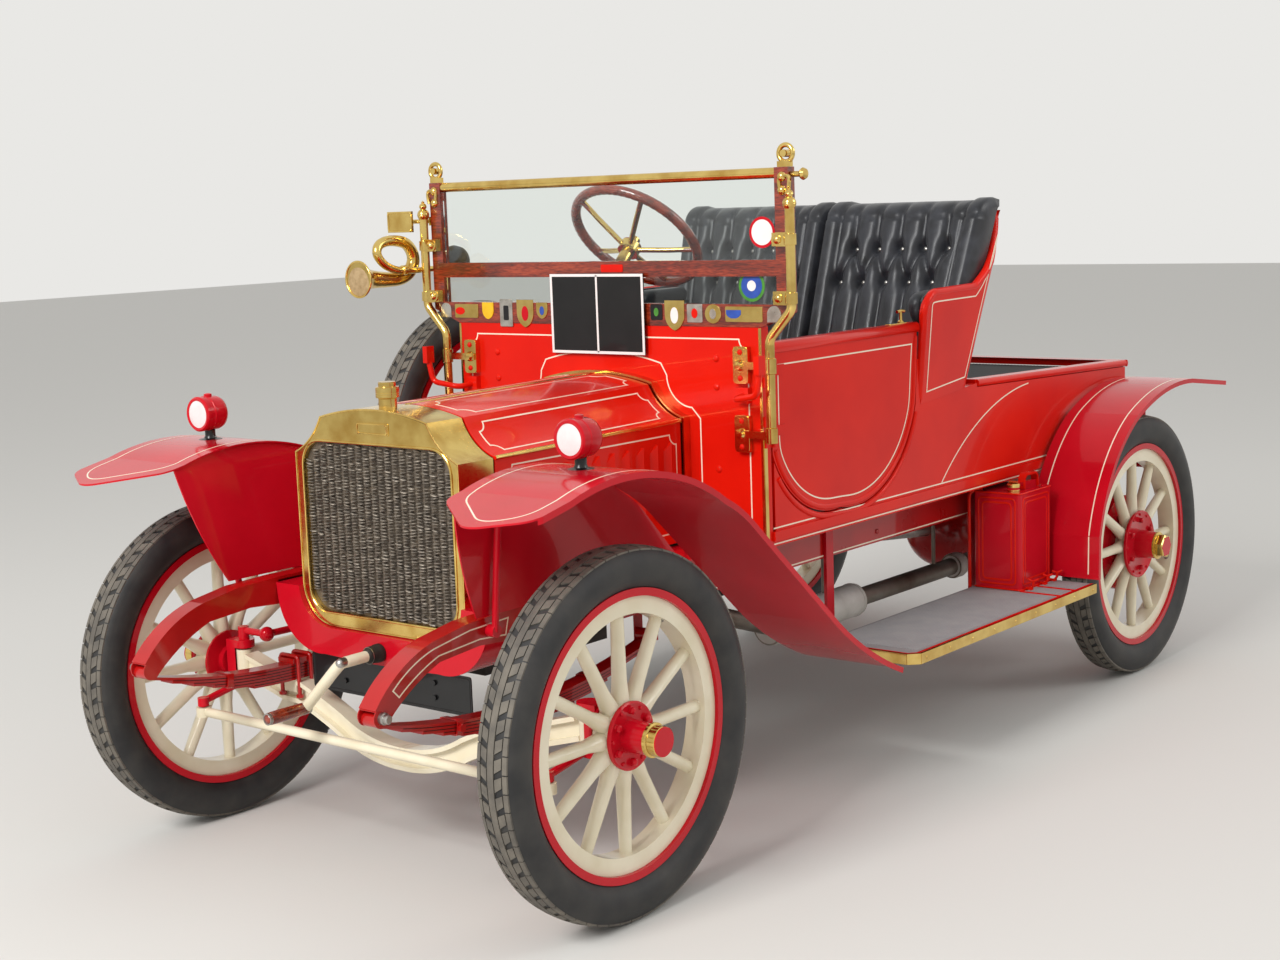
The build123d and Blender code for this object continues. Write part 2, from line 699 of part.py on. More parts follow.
def bonnet_section(rear, start_x=hinge_gap):
    """Outer line of the left top half, from the middle to the side hinge, at the front or the rear."""
    rise = bonnet_rise if rear else 0.0
    flare = bonnet_flare if rear else 0.0
    w = radiator_half_width + flare
    side_z = shoulder_z + rise + 3
    chord = Vector(ridge_x - w, ridge_z - shoulder_z).normalized()
    dip = ((w + ridge_x) / 2 - flute_depth * chord.Y, (side_z + ridge_z + rise) / 2 + flute_depth * chord.X)
    crown_mid = (ridge_x / 2, (ridge_z + crown_z) / 2 + rise + 6)
    return chain((start_x, crown_z + rise), (crown_mid, (ridge_x, ridge_z + rise)), (dip, (w, side_z)))


def bonnet_top():
    sections = []
    for rear, y in ((False, bonnet_front_y), (True, bonnet_rear_y)):
        face = strip(bonnet_section(rear), bonnet_gauge, Side.RIGHT)
        front = Plane(origin=(0, y, 0), x_dir=(1, 0, 0), z_dir=(0, -1, 0))
        sections.append(front * face)
    bead_ends = [(radiator_half_width + bonnet_flare * k, y, shoulder_z + bonnet_rise * k)
                 for k, y in ((0, bonnet_front_y), (1, bonnet_rear_y))]
    return loft(sections, ruled=True) + bar(*bead_ends, bead_radius)


bead_radius = 5.0


def bonnet_side():
    """The side panel: straight from the side hinge down to the ledge."""
    sections = []
    for rear, y in ((False, bonnet_front_y), (True, bonnet_rear_y)):
        w = radiator_half_width + (bonnet_flare if rear else 0.0)
        top = shoulder_z + (bonnet_rise if rear else 0.0) - bead_radius - running_gap
        front = Plane(origin=(0, y, 0), x_dir=(1, 0, 0), z_dir=(0, -1, 0))
        sections.append(front * outline((w - bonnet_gauge, bonnet_bottom), (w, bonnet_bottom), (w, top),
                                        (w - bonnet_gauge, top)))
    panel = loft(sections, ruled=True)
    side_slope = bonnet_flare / (bonnet_rear_y - bonnet_front_y)
    low, high = louvre_z
    for k in range(louvre_count):
        y = louvre_front_y + louvre_pitch * k
        end = y + louvre_length
        face_x = radiator_half_width + side_slope * (y - bonnet_front_y)
        plan = outline((face_x - 1, y), (face_x - 1, end), (face_x + louvre_proud, end))
        side_view = outline((y - 1, low), (end, low - louvre_point), (end + 1, low), (end + 1, high),
                            (end, high + louvre_point), (y - 1, high))
        wedge = upward(plan, low - louvre_point, high + louvre_point)
        panel += wedge & across(side_view, face_x - 2, face_x + 20)
        panel -= block((face_x - bonnet_gauge - 3, face_x + 3), (end, end + louvre_slot), louvre_z)
    return panel


def bonnet_moulding():
    """A wide brass moulding on the dash that follows the bonnet's outline, and the middle hinge's rod."""
    section = bonnet_section(True, 0.0)
    foot = (radiator_half_width + bonnet_flare, bonnet_bottom)
    inside, outside = 2.0, 7.0
    line = section + chain((foot[0], shoulder_z + bonnet_rise + 3), foot)
    face = strip(line, outside, Side.LEFT) + strip(line, inside, Side.RIGHT)
    half = along(face, moulding_front_y, dash_front_y - running_gap)
    return solids_of(half + mirrored(half) - column_bore(), bonnet_rod())


# Machinery that shows from below

engine_half_width = 125.0
engine_y = (150.0, 600.0)
engine_z = (430.0, 930.0)
clutch_radius = 58.0
clutch_z = 505.0
gearbox_half_width = 130.0
gearbox_y = (930.0, 1330.0)
gearbox_z = (450.0, 650.0)
joint_radius = 36.0
joint_z = 530.0
propeller_radius = 26.0


def engine_block():
    return block((-engine_half_width, engine_half_width), engine_y, engine_z)


def gearbox():
    case = block((-gearbox_half_width, gearbox_half_width), gearbox_y, gearbox_z)
    clutch = bar((0, engine_y[1] + running_gap, clutch_z), (0, gearbox_y[0], clutch_z), clutch_radius)
    return case + clutch


def propeller_shaft():
    front = Vector(0, gearbox_y[1] + running_gap + joint_radius, joint_z)
    middle = Vector(0, wheelbase, hub_z)
    rear = middle - (middle - front).normalized() * (diff_radius + running_gap)
    return bar(front, rear, propeller_radius) + Pos(front) * Sphere(joint_radius)


axle_tube_radius = 38.0
diff_radius = 140.0
backplate_x = wheel_x - hub_face_x - hub_flange - drum_depth - clear_gap


def rear_axle():
    """A tube with a round casing in the middle, a brake plate and a shaft at each end."""
    end, plate, tube = wheel_x + barrel_end_x - 6, backplate_x - 6, axle_tube_radius
    mouth_x = math.sqrt(diff_radius ** 2 - tube ** 2)
    half = ((mouth_x, tube), (plate, tube), (plate, drum_radius - drum_wall),
            (backplate_x, drum_radius - drum_wall), (backplate_x, half_shaft_radius), (end, half_shaft_radius),
            (end, 0))
    other = [(-x, r) for x, r in reversed(half)]
    axle = Pos(0, wheelbase, hub_z) * turned(outline(
        other[0], *other[1:-1], (-mouth_x, tube), ((0, diff_radius), (mouth_x, tube)), *half[1:]))
    for side in (-1, 1):
        pad_x = (side * rail_x - spring_width / 2, side * rail_x + spring_width / 2)
        axle += block(pad_x, (wheelbase - 35, wheelbase + 35), (hub_z, rear_spring["seat_z"]))
    return axle


exhaust_x = 215.0
exhaust_z = 350.0
exhaust_port = (560.0, 560.0)           # Y and Z of its bend beside the engine
down_pipe_radius = 24.0
# Runs of the level part: front, rear, radius
exhaust_runs = ((1180.0, 1620.0, 48.0), (1600.0, 2330.0, 27.0), (2190.0, 2240.0, 38.0))


def exhaust():
    """A down pipe from the engine, a silencer drum and a tail pipe with a collar, hung from the frame."""
    bend = (exhaust_x, *exhaust_port)
    pieces = bar((engine_half_width + running_gap, *exhaust_port), bend, down_pipe_radius)
    pieces += Pos(*bend) * Sphere(down_pipe_radius)
    pieces += bar(bend, (exhaust_x, exhaust_runs[0][0] + 20, exhaust_z), down_pipe_radius)
    for front, rear, radius in exhaust_runs:
        pieces += bar((exhaust_x, front, exhaust_z), (exhaust_x, rear, exhaust_z), radius)
    for y in cross_member_y[1:3]:
        middle = y + cross_member_length / 2
        pieces += bar((exhaust_x, middle, exhaust_z), (exhaust_x, middle, member_bottom - running_gap), 6)
    return pieces


# Dash and windscreen

def dash_board():
    board = block((-dash_half_width, dash_half_width), (dash_front_y, dash_back_y),
                  (rail_top + running_gap, dash_top))
    board -= column_bore()
    leaf_x, leaf_y = (dash_half_width - 1, hinge_xy[0] - 2), (dash_front_y + 4, hinge_xy[1])
    for z in hinge_z:
        lower = (z - hinge_height, z - running_gap)
        upper = (z + hinge_height + running_gap, z + 2 * hinge_height)
        for knuckle_z in (lower, upper):
            board += bar((*hinge_xy, knuckle_z[0]), (*hinge_xy, knuckle_z[1]), hinge_radius)
            board += block(leaf_x, leaf_y, knuckle_z)
    return board


def windscreen_frame():
    """Mahogany posts with a middle and a lower rail; the lower corners are cut to the dash."""
    low = dash_top + running_gap
    w, inner = screen_half_width, screen_half_width - screen_post
    face = outline((-dash_half_width, low), (dash_half_width, low), (w, low + 37), (w, screen_top),
                   (-w, screen_top), (-w, low + 37))
    for z_low, z_high in ((low + lower_rail_height, middle_rail_bottom),
                          (middle_rail_bottom + middle_rail_height, screen_top + 1)):
        face -= Pos(0, (z_low + z_high) / 2) * Rectangle(2 * inner, z_high - z_low)
    return along(face, screen_front_y, screen_front_y + screen_thickness)


def windscreen_glass():
    inner = screen_half_width - screen_post - running_gap
    y_low = screen_front_y + (screen_thickness - glass_thickness) / 2
    panes = []
    for z_low, z_high in ((dash_top + running_gap + lower_rail_height, middle_rail_bottom),
                          (middle_rail_bottom + middle_rail_height, screen_top - 2 * top_rail_radius)):
        panes.append(block((-inner, inner), (y_low, y_low + glass_thickness),
                           (z_low + running_gap, z_high - running_gap)))
    return solids_of(*panes)


stay_y = 752.0
stay_upper_x = screen_half_width + stay_radius + 1.0
stay_lower_x = dash_half_width + 37.0


def windscreen_stay():
    """The brass tube down the outside of a post, in to the dash, with its clamps and plate."""
    points = ((stay_upper_x, 1506.0), (stay_upper_x, 1262.0), (stay_lower_x, 1190.0), (stay_lower_x, 935.0))
    path = FilletPolyline(*[(x, stay_y, z) for x, z in points], radius=34)
    start = Plane(origin=(stay_upper_x, stay_y, 1506.0), z_dir=(0, 0, -1))
    tube = sweep(start * Circle(stay_radius), path=path)
    tube += Pos(stay_upper_x, stay_y, 1515) * Sphere(17)
    for z in (1430.0, 1290.0):
        tube += block((screen_half_width - 36, stay_upper_x), (stay_y - 7, screen_front_y - running_gap),
                      (z - 16, z + 16))
    for z in (1125.0, 955.0):
        tube += block((dash_half_width - 70, stay_lower_x), (stay_y - 7, stay_y + 7), (z - 9, z + 9))
        tube += block((dash_half_width - 72, dash_half_width - 32), (stay_y, dash_front_y - running_gap),
                      (z - 45, z + 45))
    return tube


def windscreen_brass():
    """The top rail with a ring at each corner, and the two stays."""
    rail_z = screen_top - top_rail_radius
    inner = screen_half_width - screen_post - running_gap
    mid_y = screen_front_y + screen_thickness / 2
    rail = bar((-inner, mid_y, rail_z), (inner, mid_y, rail_z), top_rail_radius)
    corners = []
    for side in (-1, 1):
        foot = block((side * screen_half_width - side * 34, side * screen_half_width) if side > 0 else
                     (-screen_half_width, -screen_half_width + 34),
                     (mid_y - 9, mid_y + 9), (screen_top + running_gap, screen_top + 14))
        ring_at = Plane(origin=(side * (screen_half_width - 14), mid_y, screen_top + 32), z_dir=(0, 1, 0))
        corners.append(foot + ring_at * Torus(20, 6))
    return solids_of(rail, both_sides(windscreen_stay()), *corners)


# Body

def seat_line(y):
    return seat_line_z + (y - seat_front_y) * seat_line_slope


def deck_line(y):
    return deck_top_z - (y - deck_front_y) * deck_slope


def door_face(grow=0.0):
    """The door's outline from the side: straight top and front, a round foot, a leaning rear edge."""
    f, r = door_front_y, door_rear_y
    face = outline((f, door_top), (f, 900), ((f + 92, 782), (f + 300, door_bottom)),
                   ((r - 130, 788), (r - 17, 955)), (r, door_top))
    return offset(face, amount=grow) if grow else face


body_rim_gauge = 22.0


def side_face(with_door):
    """A lower body side, with the doorway cut out where there is a door."""
    low = body_bottom
    front = dash_back_y + running_gap
    rear = deck_rear_y - 11
    under_rim = -body_rim_gauge - running_gap
    face = outline((front, low), (rear, low), (rear, deck_line(rear) + under_rim),
                   (deck_front_y, deck_line(deck_front_y) + under_rim),
                   (deck_front_y - 1, seat_line(deck_front_y)), (seat_front_y, seat_line(seat_front_y)),
                   (seat_front_y - 2, door_top), (front, door_top))
    if with_door:
        face -= door_face(door_gap)
        face -= Pos((front + seat_front_y) / 2, door_top) * Rectangle(seat_front_y - front + 20, 200)
        face -= Pos(front, 1000) * Rectangle(2 * (door_front_y - front + door_gap), 600)
    return face


def body_panels():
    """The two lower sides, the tail panel and the sill mouldings."""
    inner, outer = body_half_width - body_wall, body_half_width
    left = across(side_face(True), inner, outer)
    right = across(side_face(False), -outer, -inner)
    rear = deck_rear_y - 11
    tail = block((-inner, inner), (rear - body_wall, rear),
                 (body_bottom, deck_line(rear) - deck_depth - 20))
    sills = []
    for side in (-1, 1):
        x = (outer - 1, outer + sill_proud) if side > 0 else (-outer - sill_proud, -outer + 1)
        sills.append(block(x, (dash_back_y + running_gap, rear), (682, 706)))
    return left.fuse(right, tail, *sills)


def floor_boards():
    """Boards on the rails from dash to tail, with a sloping toe board."""
    inner = body_half_width - body_wall - running_gap
    low, high = rail_top + running_gap, rail_top + running_gap + floor_thickness
    boards = block((-inner, inner), (dash_back_y + running_gap, deck_rear_y - 11 - body_wall - running_gap),
                   (low, high))
    toe_foot_y, toe_top_z = 985.0, 806.0
    slope = outline((dash_back_y + running_gap, toe_top_z), (dash_back_y + running_gap, toe_top_z - 22),
                    (toe_foot_y - 22, high - 1), (toe_foot_y, high - 1))
    return boards + across(slope, -inner, inner)


def seat_box():
    high = seat_base_top
    half = body_half_width - body_wall - 17
    return block((-half, half), (seat_front_y + 12, seat_front_y + seat_foot_length - 20),
                 (rail_top + floor_thickness + 2 * running_gap, high))


# Height, half width and back of the seat's tub at its foot and near its top
seat_foot_y = seat_front_y + seat_foot_length
shell_low = (940.0, body_half_width, seat_foot_y)
shell_high = (1500.0, body_half_width + seat_flare, seat_foot_y + seat_lean)
shell_corner = 55.0
shell_wall = 22.0


def tub(inset, low_z, high_z, front_y=1400.0):
    """A leaning, flaring tub with round rear corners, between two heights, drawn in by inset."""
    z0, half0, back0 = shell_low
    z1, half1, back1 = shell_high
    sections = []
    for z in (low_z, high_z):
        part = (z - z0) / (z1 - z0)
        half = half0 + (half1 - half0) * part - inset
        back = back0 + (back1 - back0) * part - inset
        corner = shell_corner - inset
        bend = corner * (1 - math.sqrt(0.5))
        face = outline((-half, front_y), (half, front_y), (half, back - corner),
                       ((half - bend, back - bend), (half - corner, back)), (-half + corner, back),
                       ((-half + bend, back - bend), (-half, back - corner)))
        sections.append(Plane.XY.offset(z) * face)
    return loft(sections, ruled=True)


def arm_profile(top, drop=0.0):
    """Side view of the seat: level arms that sweep up to the back."""
    f = seat_front_y
    far = f + 582
    line = seat_line(f) + running_gap
    arm = arm_top - drop
    return outline((f, line), (far, seat_line(far) + running_gap), (far, top - drop), (f + 444, top - drop),
                   ((f + 380, 1345 - drop), (seat_foot_y, arm + 4)), (f + 62, arm),
                   ((f + 18, arm - 18), (f + 3, arm - 64)))


def seat_shell():
    """The seat's wooden tub: sides and back in one sweep, on the lower body."""
    shell = tub(0, 940, 1500) - tub(shell_wall, 939, 1501)
    return shell & across(arm_profile(seat_back_top), -700, 700)


def back_line(z):
    """Where the back of the seat's tub is at a height."""
    z0, _, back0 = shell_low
    z1, _, back1 = shell_high
    return back0 + (back1 - back0) * (z - z0) / (z1 - z0)


squab_foot_z = 1012.0
squab_roll = 44.0            # the top of each squab is a roll of this radius
squab_side = 40.0            # thickness of the padding inside the arms


def seat_squab():
    """The buttoned hide: two leaning squabs, rolled over the back's top, and a pad along each arm."""
    gap = shell_wall + running_gap
    inside = tub(gap, squab_foot_z, squab_top + 2)
    roll_z = squab_top - squab_roll
    front_foot = back_line(squab_foot_z) - gap - squab_thickness
    front_top = back_line(roll_z) - gap - squab_thickness
    rear_top = back_line(squab_top) - gap
    belly = ((front_foot + front_top) / 2 - 12, (squab_foot_z + roll_z) / 2)
    profile = outline((rear_top, squab_foot_z), (front_foot, squab_foot_z), (belly, (front_top, roll_z)),
                      ((front_top + squab_roll * 0.3, squab_top - squab_roll * 0.3),
                       (front_top + squab_roll, squab_top)), (rear_top, squab_top))
    wide = body_half_width + seat_flare
    backs = across(profile, -wide, wide) & inside
    z0, half0, _ = shell_low
    z1, half1, _ = shell_high
    sections = []
    for z in (squab_foot_z - 1, squab_top + 3):
        half = half0 + (half1 - half0) * (z - z0) / (z1 - z0) - gap - squab_side
        sections.append(Plane.XY.offset(z) * (Pos(0, seat_front_y + 300) * Rectangle(2 * half, 1200)))
    arms = (inside - loft(sections, ruled=True)) & across(arm_profile(squab_top + 8, 6), -700, 700)
    pad = backs + arms
    seam = outline((front_foot - 40, squab_foot_z - 1), (front_top - 40, roll_z),
                   (front_top - 10, squab_top + 3), (front_top + 60, squab_top + 3), (front_top + 6, roll_z),
                   (front_foot + 6, squab_foot_z - 1))
    return pad - across(seam, -3, 3)


def seat_cushion():
    half = body_half_width - shell_wall - squab_side - 12
    back = back_line(seat_base_top + cushion_height) - shell_wall - squab_thickness - 18
    plan = Pos(0, (seat_front_y - 20 + back) / 2) * RectangleRounded(2 * half, back - seat_front_y + 20, 30)
    return upward(plan, seat_base_top + running_gap, seat_base_top + cushion_height)


def rear_deck():
    """The load tray: a flared rim round a shallow floor that falls towards the tail."""
    front, rear = deck_front_y, deck_rear_y
    outer = body_half_width - 6
    depth = deck_depth + 16
    face = outline((front, deck_line(front)), (rear, deck_line(rear)), (rear, deck_line(rear) - depth),
                   (front, deck_line(front) - depth))
    tray = across(face, -outer, outer)
    pocket = outline((front + deck_rim, deck_line(front) + 1), (rear - deck_rim, deck_line(rear) + 1),
                     (rear - deck_rim, deck_line(rear) - deck_depth),
                     (front + deck_rim, deck_line(front) - deck_depth))
    tray -= across(pocket, -outer + deck_rim, outer - deck_rim)
    inside = body_half_width - body_wall - running_gap
    under = outline((front - 1, deck_line(front) - body_rim_gauge),
                    (rear + 1, deck_line(rear) - body_rim_gauge), (rear + 1, deck_line(rear) - depth - 1),
                    (front - 1, deck_line(front) - depth - 1))
    for x_low, x_high in ((-outer - 1, -inside), (inside, outer + 1)):
        tray -= across(under, x_low, x_high)
    back = deck_rear_y - 11 - body_wall - running_gap
    tray -= block((-outer - 1, outer + 1), (back, rear + 1), (700, deck_line(rear) - body_rim_gauge))
    return tray


def door_left():
    """The door's panel with the middle knuckles and leaves of its two hinges."""
    inner, outer = body_half_width - body_wall, body_half_width
    door = across(door_face(), inner, outer)
    for z in hinge_z:
        door += bar((*hinge_xy, z), (*hinge_xy, z + hinge_height), hinge_radius)
        door += block((outer - 1, hinge_xy[0] - 2), (hinge_xy[1], door_front_y + 52), (z, z + hinge_height))
    return door


# Wings, drawn along their top line from front to rear

wing_slope = ((392.0, 809.0), (721.0, 518.0))    # ends of its straight run
front_wing_line = chain((front_wing_tip_y, 914), (-236, 952), ((-10, 981), (283, 883)),
                        ((342, 849), wing_slope[0]), wing_slope[1], ((860, 420), (1009, 346)))


def slope_height(y):
    """Height of the front wing's straight run at a place behind the axle."""
    (y0, z0), (y1, z1) = wing_slope
    return z0 + (z1 - z0) * (y - y0) / (y1 - y0)


def over_wheel(gap, degrees):
    """A point in the side view, clear of the rear tyre by a gap, at an angle ahead of upright."""
    r, a = tyre_radius + gap, math.radians(degrees)
    return (wheelbase - r * math.sin(a), hub_z + r * math.cos(a))


wing_stay_y = 2800.0
rear_wing_top_z = hub_z + tyre_radius + 93
rear_wing_line = chain((rear_wing_front_y, 372), (rear_wing_front_y + 4, 500),
                       (over_wheel(23.0, 49.0), over_wheel(45.5, 19.3)),
                       (over_wheel(84.5, -5.8), (wing_stay_y, rear_wing_top_z)),
                       (rear_wing_tip_y, rear_wing_top_z - 33))


def wing(line, inner_x, side):
    """A bent sheet with a turned-down lip along its outer edge."""
    body = across(strip(line, sheet, side), inner_x, wing_outer_x)
    lip = across(strip(line, wing_lip, side), wing_outer_x - sheet, wing_outer_x)
    return body + lip


valance_top_x = 462.0
valance_foot_x = rail_outer_x + 4.0


def front_valance():
    """The inner skirt from the wing down to the frame, leaning out towards its top, with a foot flange."""
    front_top, front_foot = (-275, 1000), (-165, rail_top + 2)
    face = outline(front_foot, (560, rail_top + 2), (560, 1000), front_top, ((-228, 800), front_foot))
    below_wing = outline((-420, 600), (600, 600), (600, slope_height(600) - sheet), (392, 805),
                         ((342, 845), (283, 879)), ((-10, 977), (-236, 948)), (-420, 908))
    lean = math.degrees(math.atan2(valance_top_x - valance_foot_x, 960 - rail_top))
    leaning_sheet = Rot(Y=lean) * Pos(sheet / 2, 0, 150) * Box(sheet, 1200, 560)
    skirt = across(face, 380, 560) & across(below_wing, 370, 570)
    skirt = skirt & Pos(valance_foot_x, 150, rail_top) * leaning_sheet
    ledge_y = (radiator_back_y + 4, dash_front_y - running_gap)
    ledge = block((radiator_half_width - clear_gap, valance_foot_x + 4), ledge_y,
                  (rail_top + running_gap, rail_top + sheet))
    return skirt, ledge


def front_wings():
    blade = wing(front_wing_line, front_wing_inner_x, Side.RIGHT)
    tip, tail = front_wing_tip_y, 1009
    plan = [(front_wing_inner_x, tail + 40), (wing_outer_x + 1, tail + 40), (wing_outer_x + 1, tip + 70),
            (front_wing_inner_x + 170, tip), (front_wing_inner_x, tip + 125)]
    face = make_face(Polyline(*plan, close=True))
    front_corners = face.vertices().sort_by(Axis.Y)[:3]
    blade = blade & upward(fillet(front_corners, 60), 200, 1100)
    skirt, ledge = front_valance()
    return both_sides(blade + skirt + ledge)


def rear_wings():
    blade = wing(rear_wing_line, rear_wing_inner_x, Side.RIGHT)
    return both_sides(blade)


def running_boards():
    """A plank with a metal edge; its outer front corner is cut off."""
    plan = outline((board_inner_x, board_front_y), (board_outer_x - 26, board_front_y),
                   (board_outer_x, board_front_y + 26), (board_outer_x, board_rear_y),
                   (board_inner_x, board_rear_y))
    return both_sides(upward(plan, board_top - board_thickness, board_top))


bracket_y = (1180.0, 1960.0)


def wing_stays():
    """Iron arms from the frame to the running boards and wings."""
    under_board = board_top - board_thickness - running_gap
    inner_x = rail_outer_x + running_gap
    arms = []
    for y in bracket_y:
        arm = block((inner_x, rail_outer_x + 10), (y, y + 34), (under_board - 12, rail_top - 10))
        arm += block((inner_x, board_outer_x - 60), (y, y + 34), (under_board - 12, under_board))
        arms.append(arm)
    front = bar((rail_outer_x + running_gap, -120, 628), (rail_outer_x + 24, -120, 628), 14)
    front += bar((rail_outer_x + 18, -120, 628), (front_wing_inner_x + 26, -150, 968), 8)
    front -= wing(front_wing_line, front_wing_inner_x, Side.RIGHT)
    arms.append(front)
    knee = (rear_wing_inner_x + 60, wing_stay_y, 620)
    rear = bar((rail_outer_x + running_gap, wing_stay_y, 620), knee, 9) + Pos(*knee) * Sphere(9)
    rear += bar(knee, (knee[0], wing_stay_y, rear_wing_top_z - sheet / 2), 9)
    rear -= wing(rear_wing_line, rear_wing_inner_x, Side.RIGHT)
    arms.append(rear)
    return solids_of(*[both_sides(arm) for arm in arms], spare_cradle())


# The spare stands on its cradle and clears the front wing's straight run
slope_run = Vector(*wing_slope[1]) - Vector(*wing_slope[0])
slope_normal = (-slope_run.Y / slope_run.length, slope_run.X / slope_run.length)
spare_z = spare_foot_z + tyre_radius
spare_rise = slope_normal[1] * (spare_z - wing_slope[0][1])
spare_y = wing_slope[0][0] + (tyre_radius + spare_gap - spare_rise) / slope_normal[0]
spare_centre = (-body_half_width - spare_from_body, spare_y, spare_z)


def spare_cradle():
    """A curved tray under the spare tyre on an arm from the right-hand rail."""
    x, y, z = spare_centre
    tray_radius, tray_gauge, spread = tyre_radius + running_gap, 6.0, math.radians(24)
    low_z = z - tray_radius - tray_gauge
    side_y, side_z = tray_radius * math.sin(spread), tray_radius * math.cos(spread)
    line = chain((y - side_y, z - side_z), ((y, z - tray_radius), (y + side_y, z - side_z)))
    tray = across(strip(line, tray_gauge, Side.RIGHT), x - 40, x + 40)
    arm_y, arm_end_x = (y - 20, y + 20), -rail_outer_x - running_gap
    tray += block((x - 20, arm_end_x), arm_y, (low_z - 8, low_z + 1))
    return tray + block((-rail_outer_x - 9, arm_end_x), arm_y, (low_z - 8, rail_top - 15))


# Fittings

def petrol_can():
    wide, long, high = can_size
    x, y = can_corner
    low = board_top + running_gap
    can = block((x, x + wide), (y, y + long), (low, low + high))
    can = fillet(can.edges().filter_by(Axis.Z), 12)
    can += bar((x + wide - 40, y + 36, low + high), (x + wide - 40, y + 36, low + high + 22), 18)
    can += block((x + wide - 46, x + wide - 34), (y + 84, y + long - 24), (low + high - 1, low + high + 20))
    return can


lamp_centre = (611.0, -34.0, 1047.0)
lamp_radius = 42.0
lamp_length = 74.0
lamp_foot_z = 978.5         # inside the wing's sheet, which is cut away from the foot


def side_lamp():
    """A drum on a short stalk, its lens to the front."""
    x, y, z = lamp_centre
    drum = bar((x, y - lamp_length / 2, z), (x, y + lamp_length / 2, z), lamp_radius)
    drum = fillet(drum.edges().group_by(Axis.Y)[-1], 18)
    drum += bar((x, y, lamp_foot_z), (x, y, z), 12)
    drum += bar((x, y, lamp_foot_z), (x, y, lamp_foot_z + 10), 26)
    return drum - wing(front_wing_line, front_wing_inner_x, Side.RIGHT)


def side_lamps():
    return both_sides(side_lamp())


def lamp_bracket():
    """A curved arm out of the dash's face that ends in an upright blade for a head lamp."""
    edge = dash_half_width
    path = FilletPolyline((edge - 49, dash_front_y - 5, 1050), (edge - 43, dash_front_y - 57, 1044),
                          (edge + 37, dash_front_y - 77, 1058), (edge + 49, dash_front_y - 79, 1116),
                          radius=24)
    start = Plane(origin=path @ 0, z_dir=path % 0)
    arm = sweep(start * Circle(8), path=path)
    arm += block((edge - 70, edge - 32), (dash_front_y - 17, dash_front_y - running_gap), (1030, 1070))
    arm += block((edge + 41, edge + 57), (dash_front_y - 93, dash_front_y - 65), (1110, 1156))
    return arm


def lamp_brackets():
    return both_sides(lamp_bracket())


horn_at = (-stay_upper_x - 49.0, 700.0, 1404.0)


def horn():
    """A coiled trumpet on the right-hand post, its bell to the front and a bulb behind."""
    x, y, z = horn_at
    coil = Plane(origin=(x, y, z - 6), z_dir=(1, 0, 0)) * Torus(44, 10)
    bell_tip = (x, y - 44, z - 50)
    bell = Plane(origin=(x, y - 160, z - 50), z_dir=(0, 1, 0)) * Cone(46, 10, 150, align=(
        Align.CENTER, Align.CENTER, Align.MIN))
    stem = bar((x, y - 20, z - 50), (x, y + 74, z - 50), 9)
    bulb = Pos(x, y + 100, z - 50) * Sphere(40)
    arm = block((x, -stay_upper_x - stay_radius - running_gap), (stay_y - 6, stay_y + 6), (z - 58, z - 42))
    return coil + bell + stem + bulb + arm


def mirror_piece():
    near, far = screen_half_width + 50, screen_half_width + 146
    frame = block((-far, -near), (741, 748), (1468, 1526))
    arm = bar((-(near + far) / 2, 748, 1497), (-screen_half_width - 8, 781, 1497), 6)
    foot = block((-screen_half_width - 12, -screen_half_width - running_gap), (771, 791), (1485, 1509))
    return frame + arm + foot


def starting_handle():
    """A shaft out of the cradle, a cranked arm and a grip."""
    shaft = bar((0, cradle_front_y - running_gap, 517), (0, -105, 517), 20)
    shaft += bar((0, -104, 517), (0, -190, 517), 12)
    arm_end = (-124, -196, 396)
    shaft += bar((0, -190, 517), arm_end, 11) + Pos(0, -190, 517) * Sphere(12)
    shaft += bar((arm_end[0], -186, arm_end[2]), (arm_end[0], -310, arm_end[2]), 14)
    return shaft


def driver_controls():
    """Gear and brake levers outside on the right, and three pedals."""
    pieces = []
    base_x = -body_half_width - 40
    gate = block((base_x - 12, -body_half_width - sill_proud - running_gap), (1320, 1450), (684, 704))
    gate += bar((base_x, 1400, 690), (base_x, 1400, 1185), 8) + Pos(base_x, 1400, 1185) * Sphere(17)
    gate += bar((base_x - 4, 1436, 690), (base_x - 4, 1436, 1225), 8)
    pieces.append(gate)
    boards = floor_boards()
    for x in (-330, -250, -150):
        pedal = block((x - 30, x + 30), (868, 880), (830, 890))
        pedal += bar((x, 872, 850), (x, 835, 770), 8) - boards
        pieces.append(pedal)
    return solids_of(*pieces)


def spare(solid):
    return Pos(*spare_centre) * Rot(Z=180) * solid


wood_front = wooden_wheel(front_hub["sleeve"])
wood_rear = wooden_wheel(rear_hub["sleeve"])
rim = rim_ring()
tyre = tyre_ring()
hub_front = wheel_hub(front_hub)
hub_rear = wheel_hub(rear_hub, drum=True, hexagon=True)

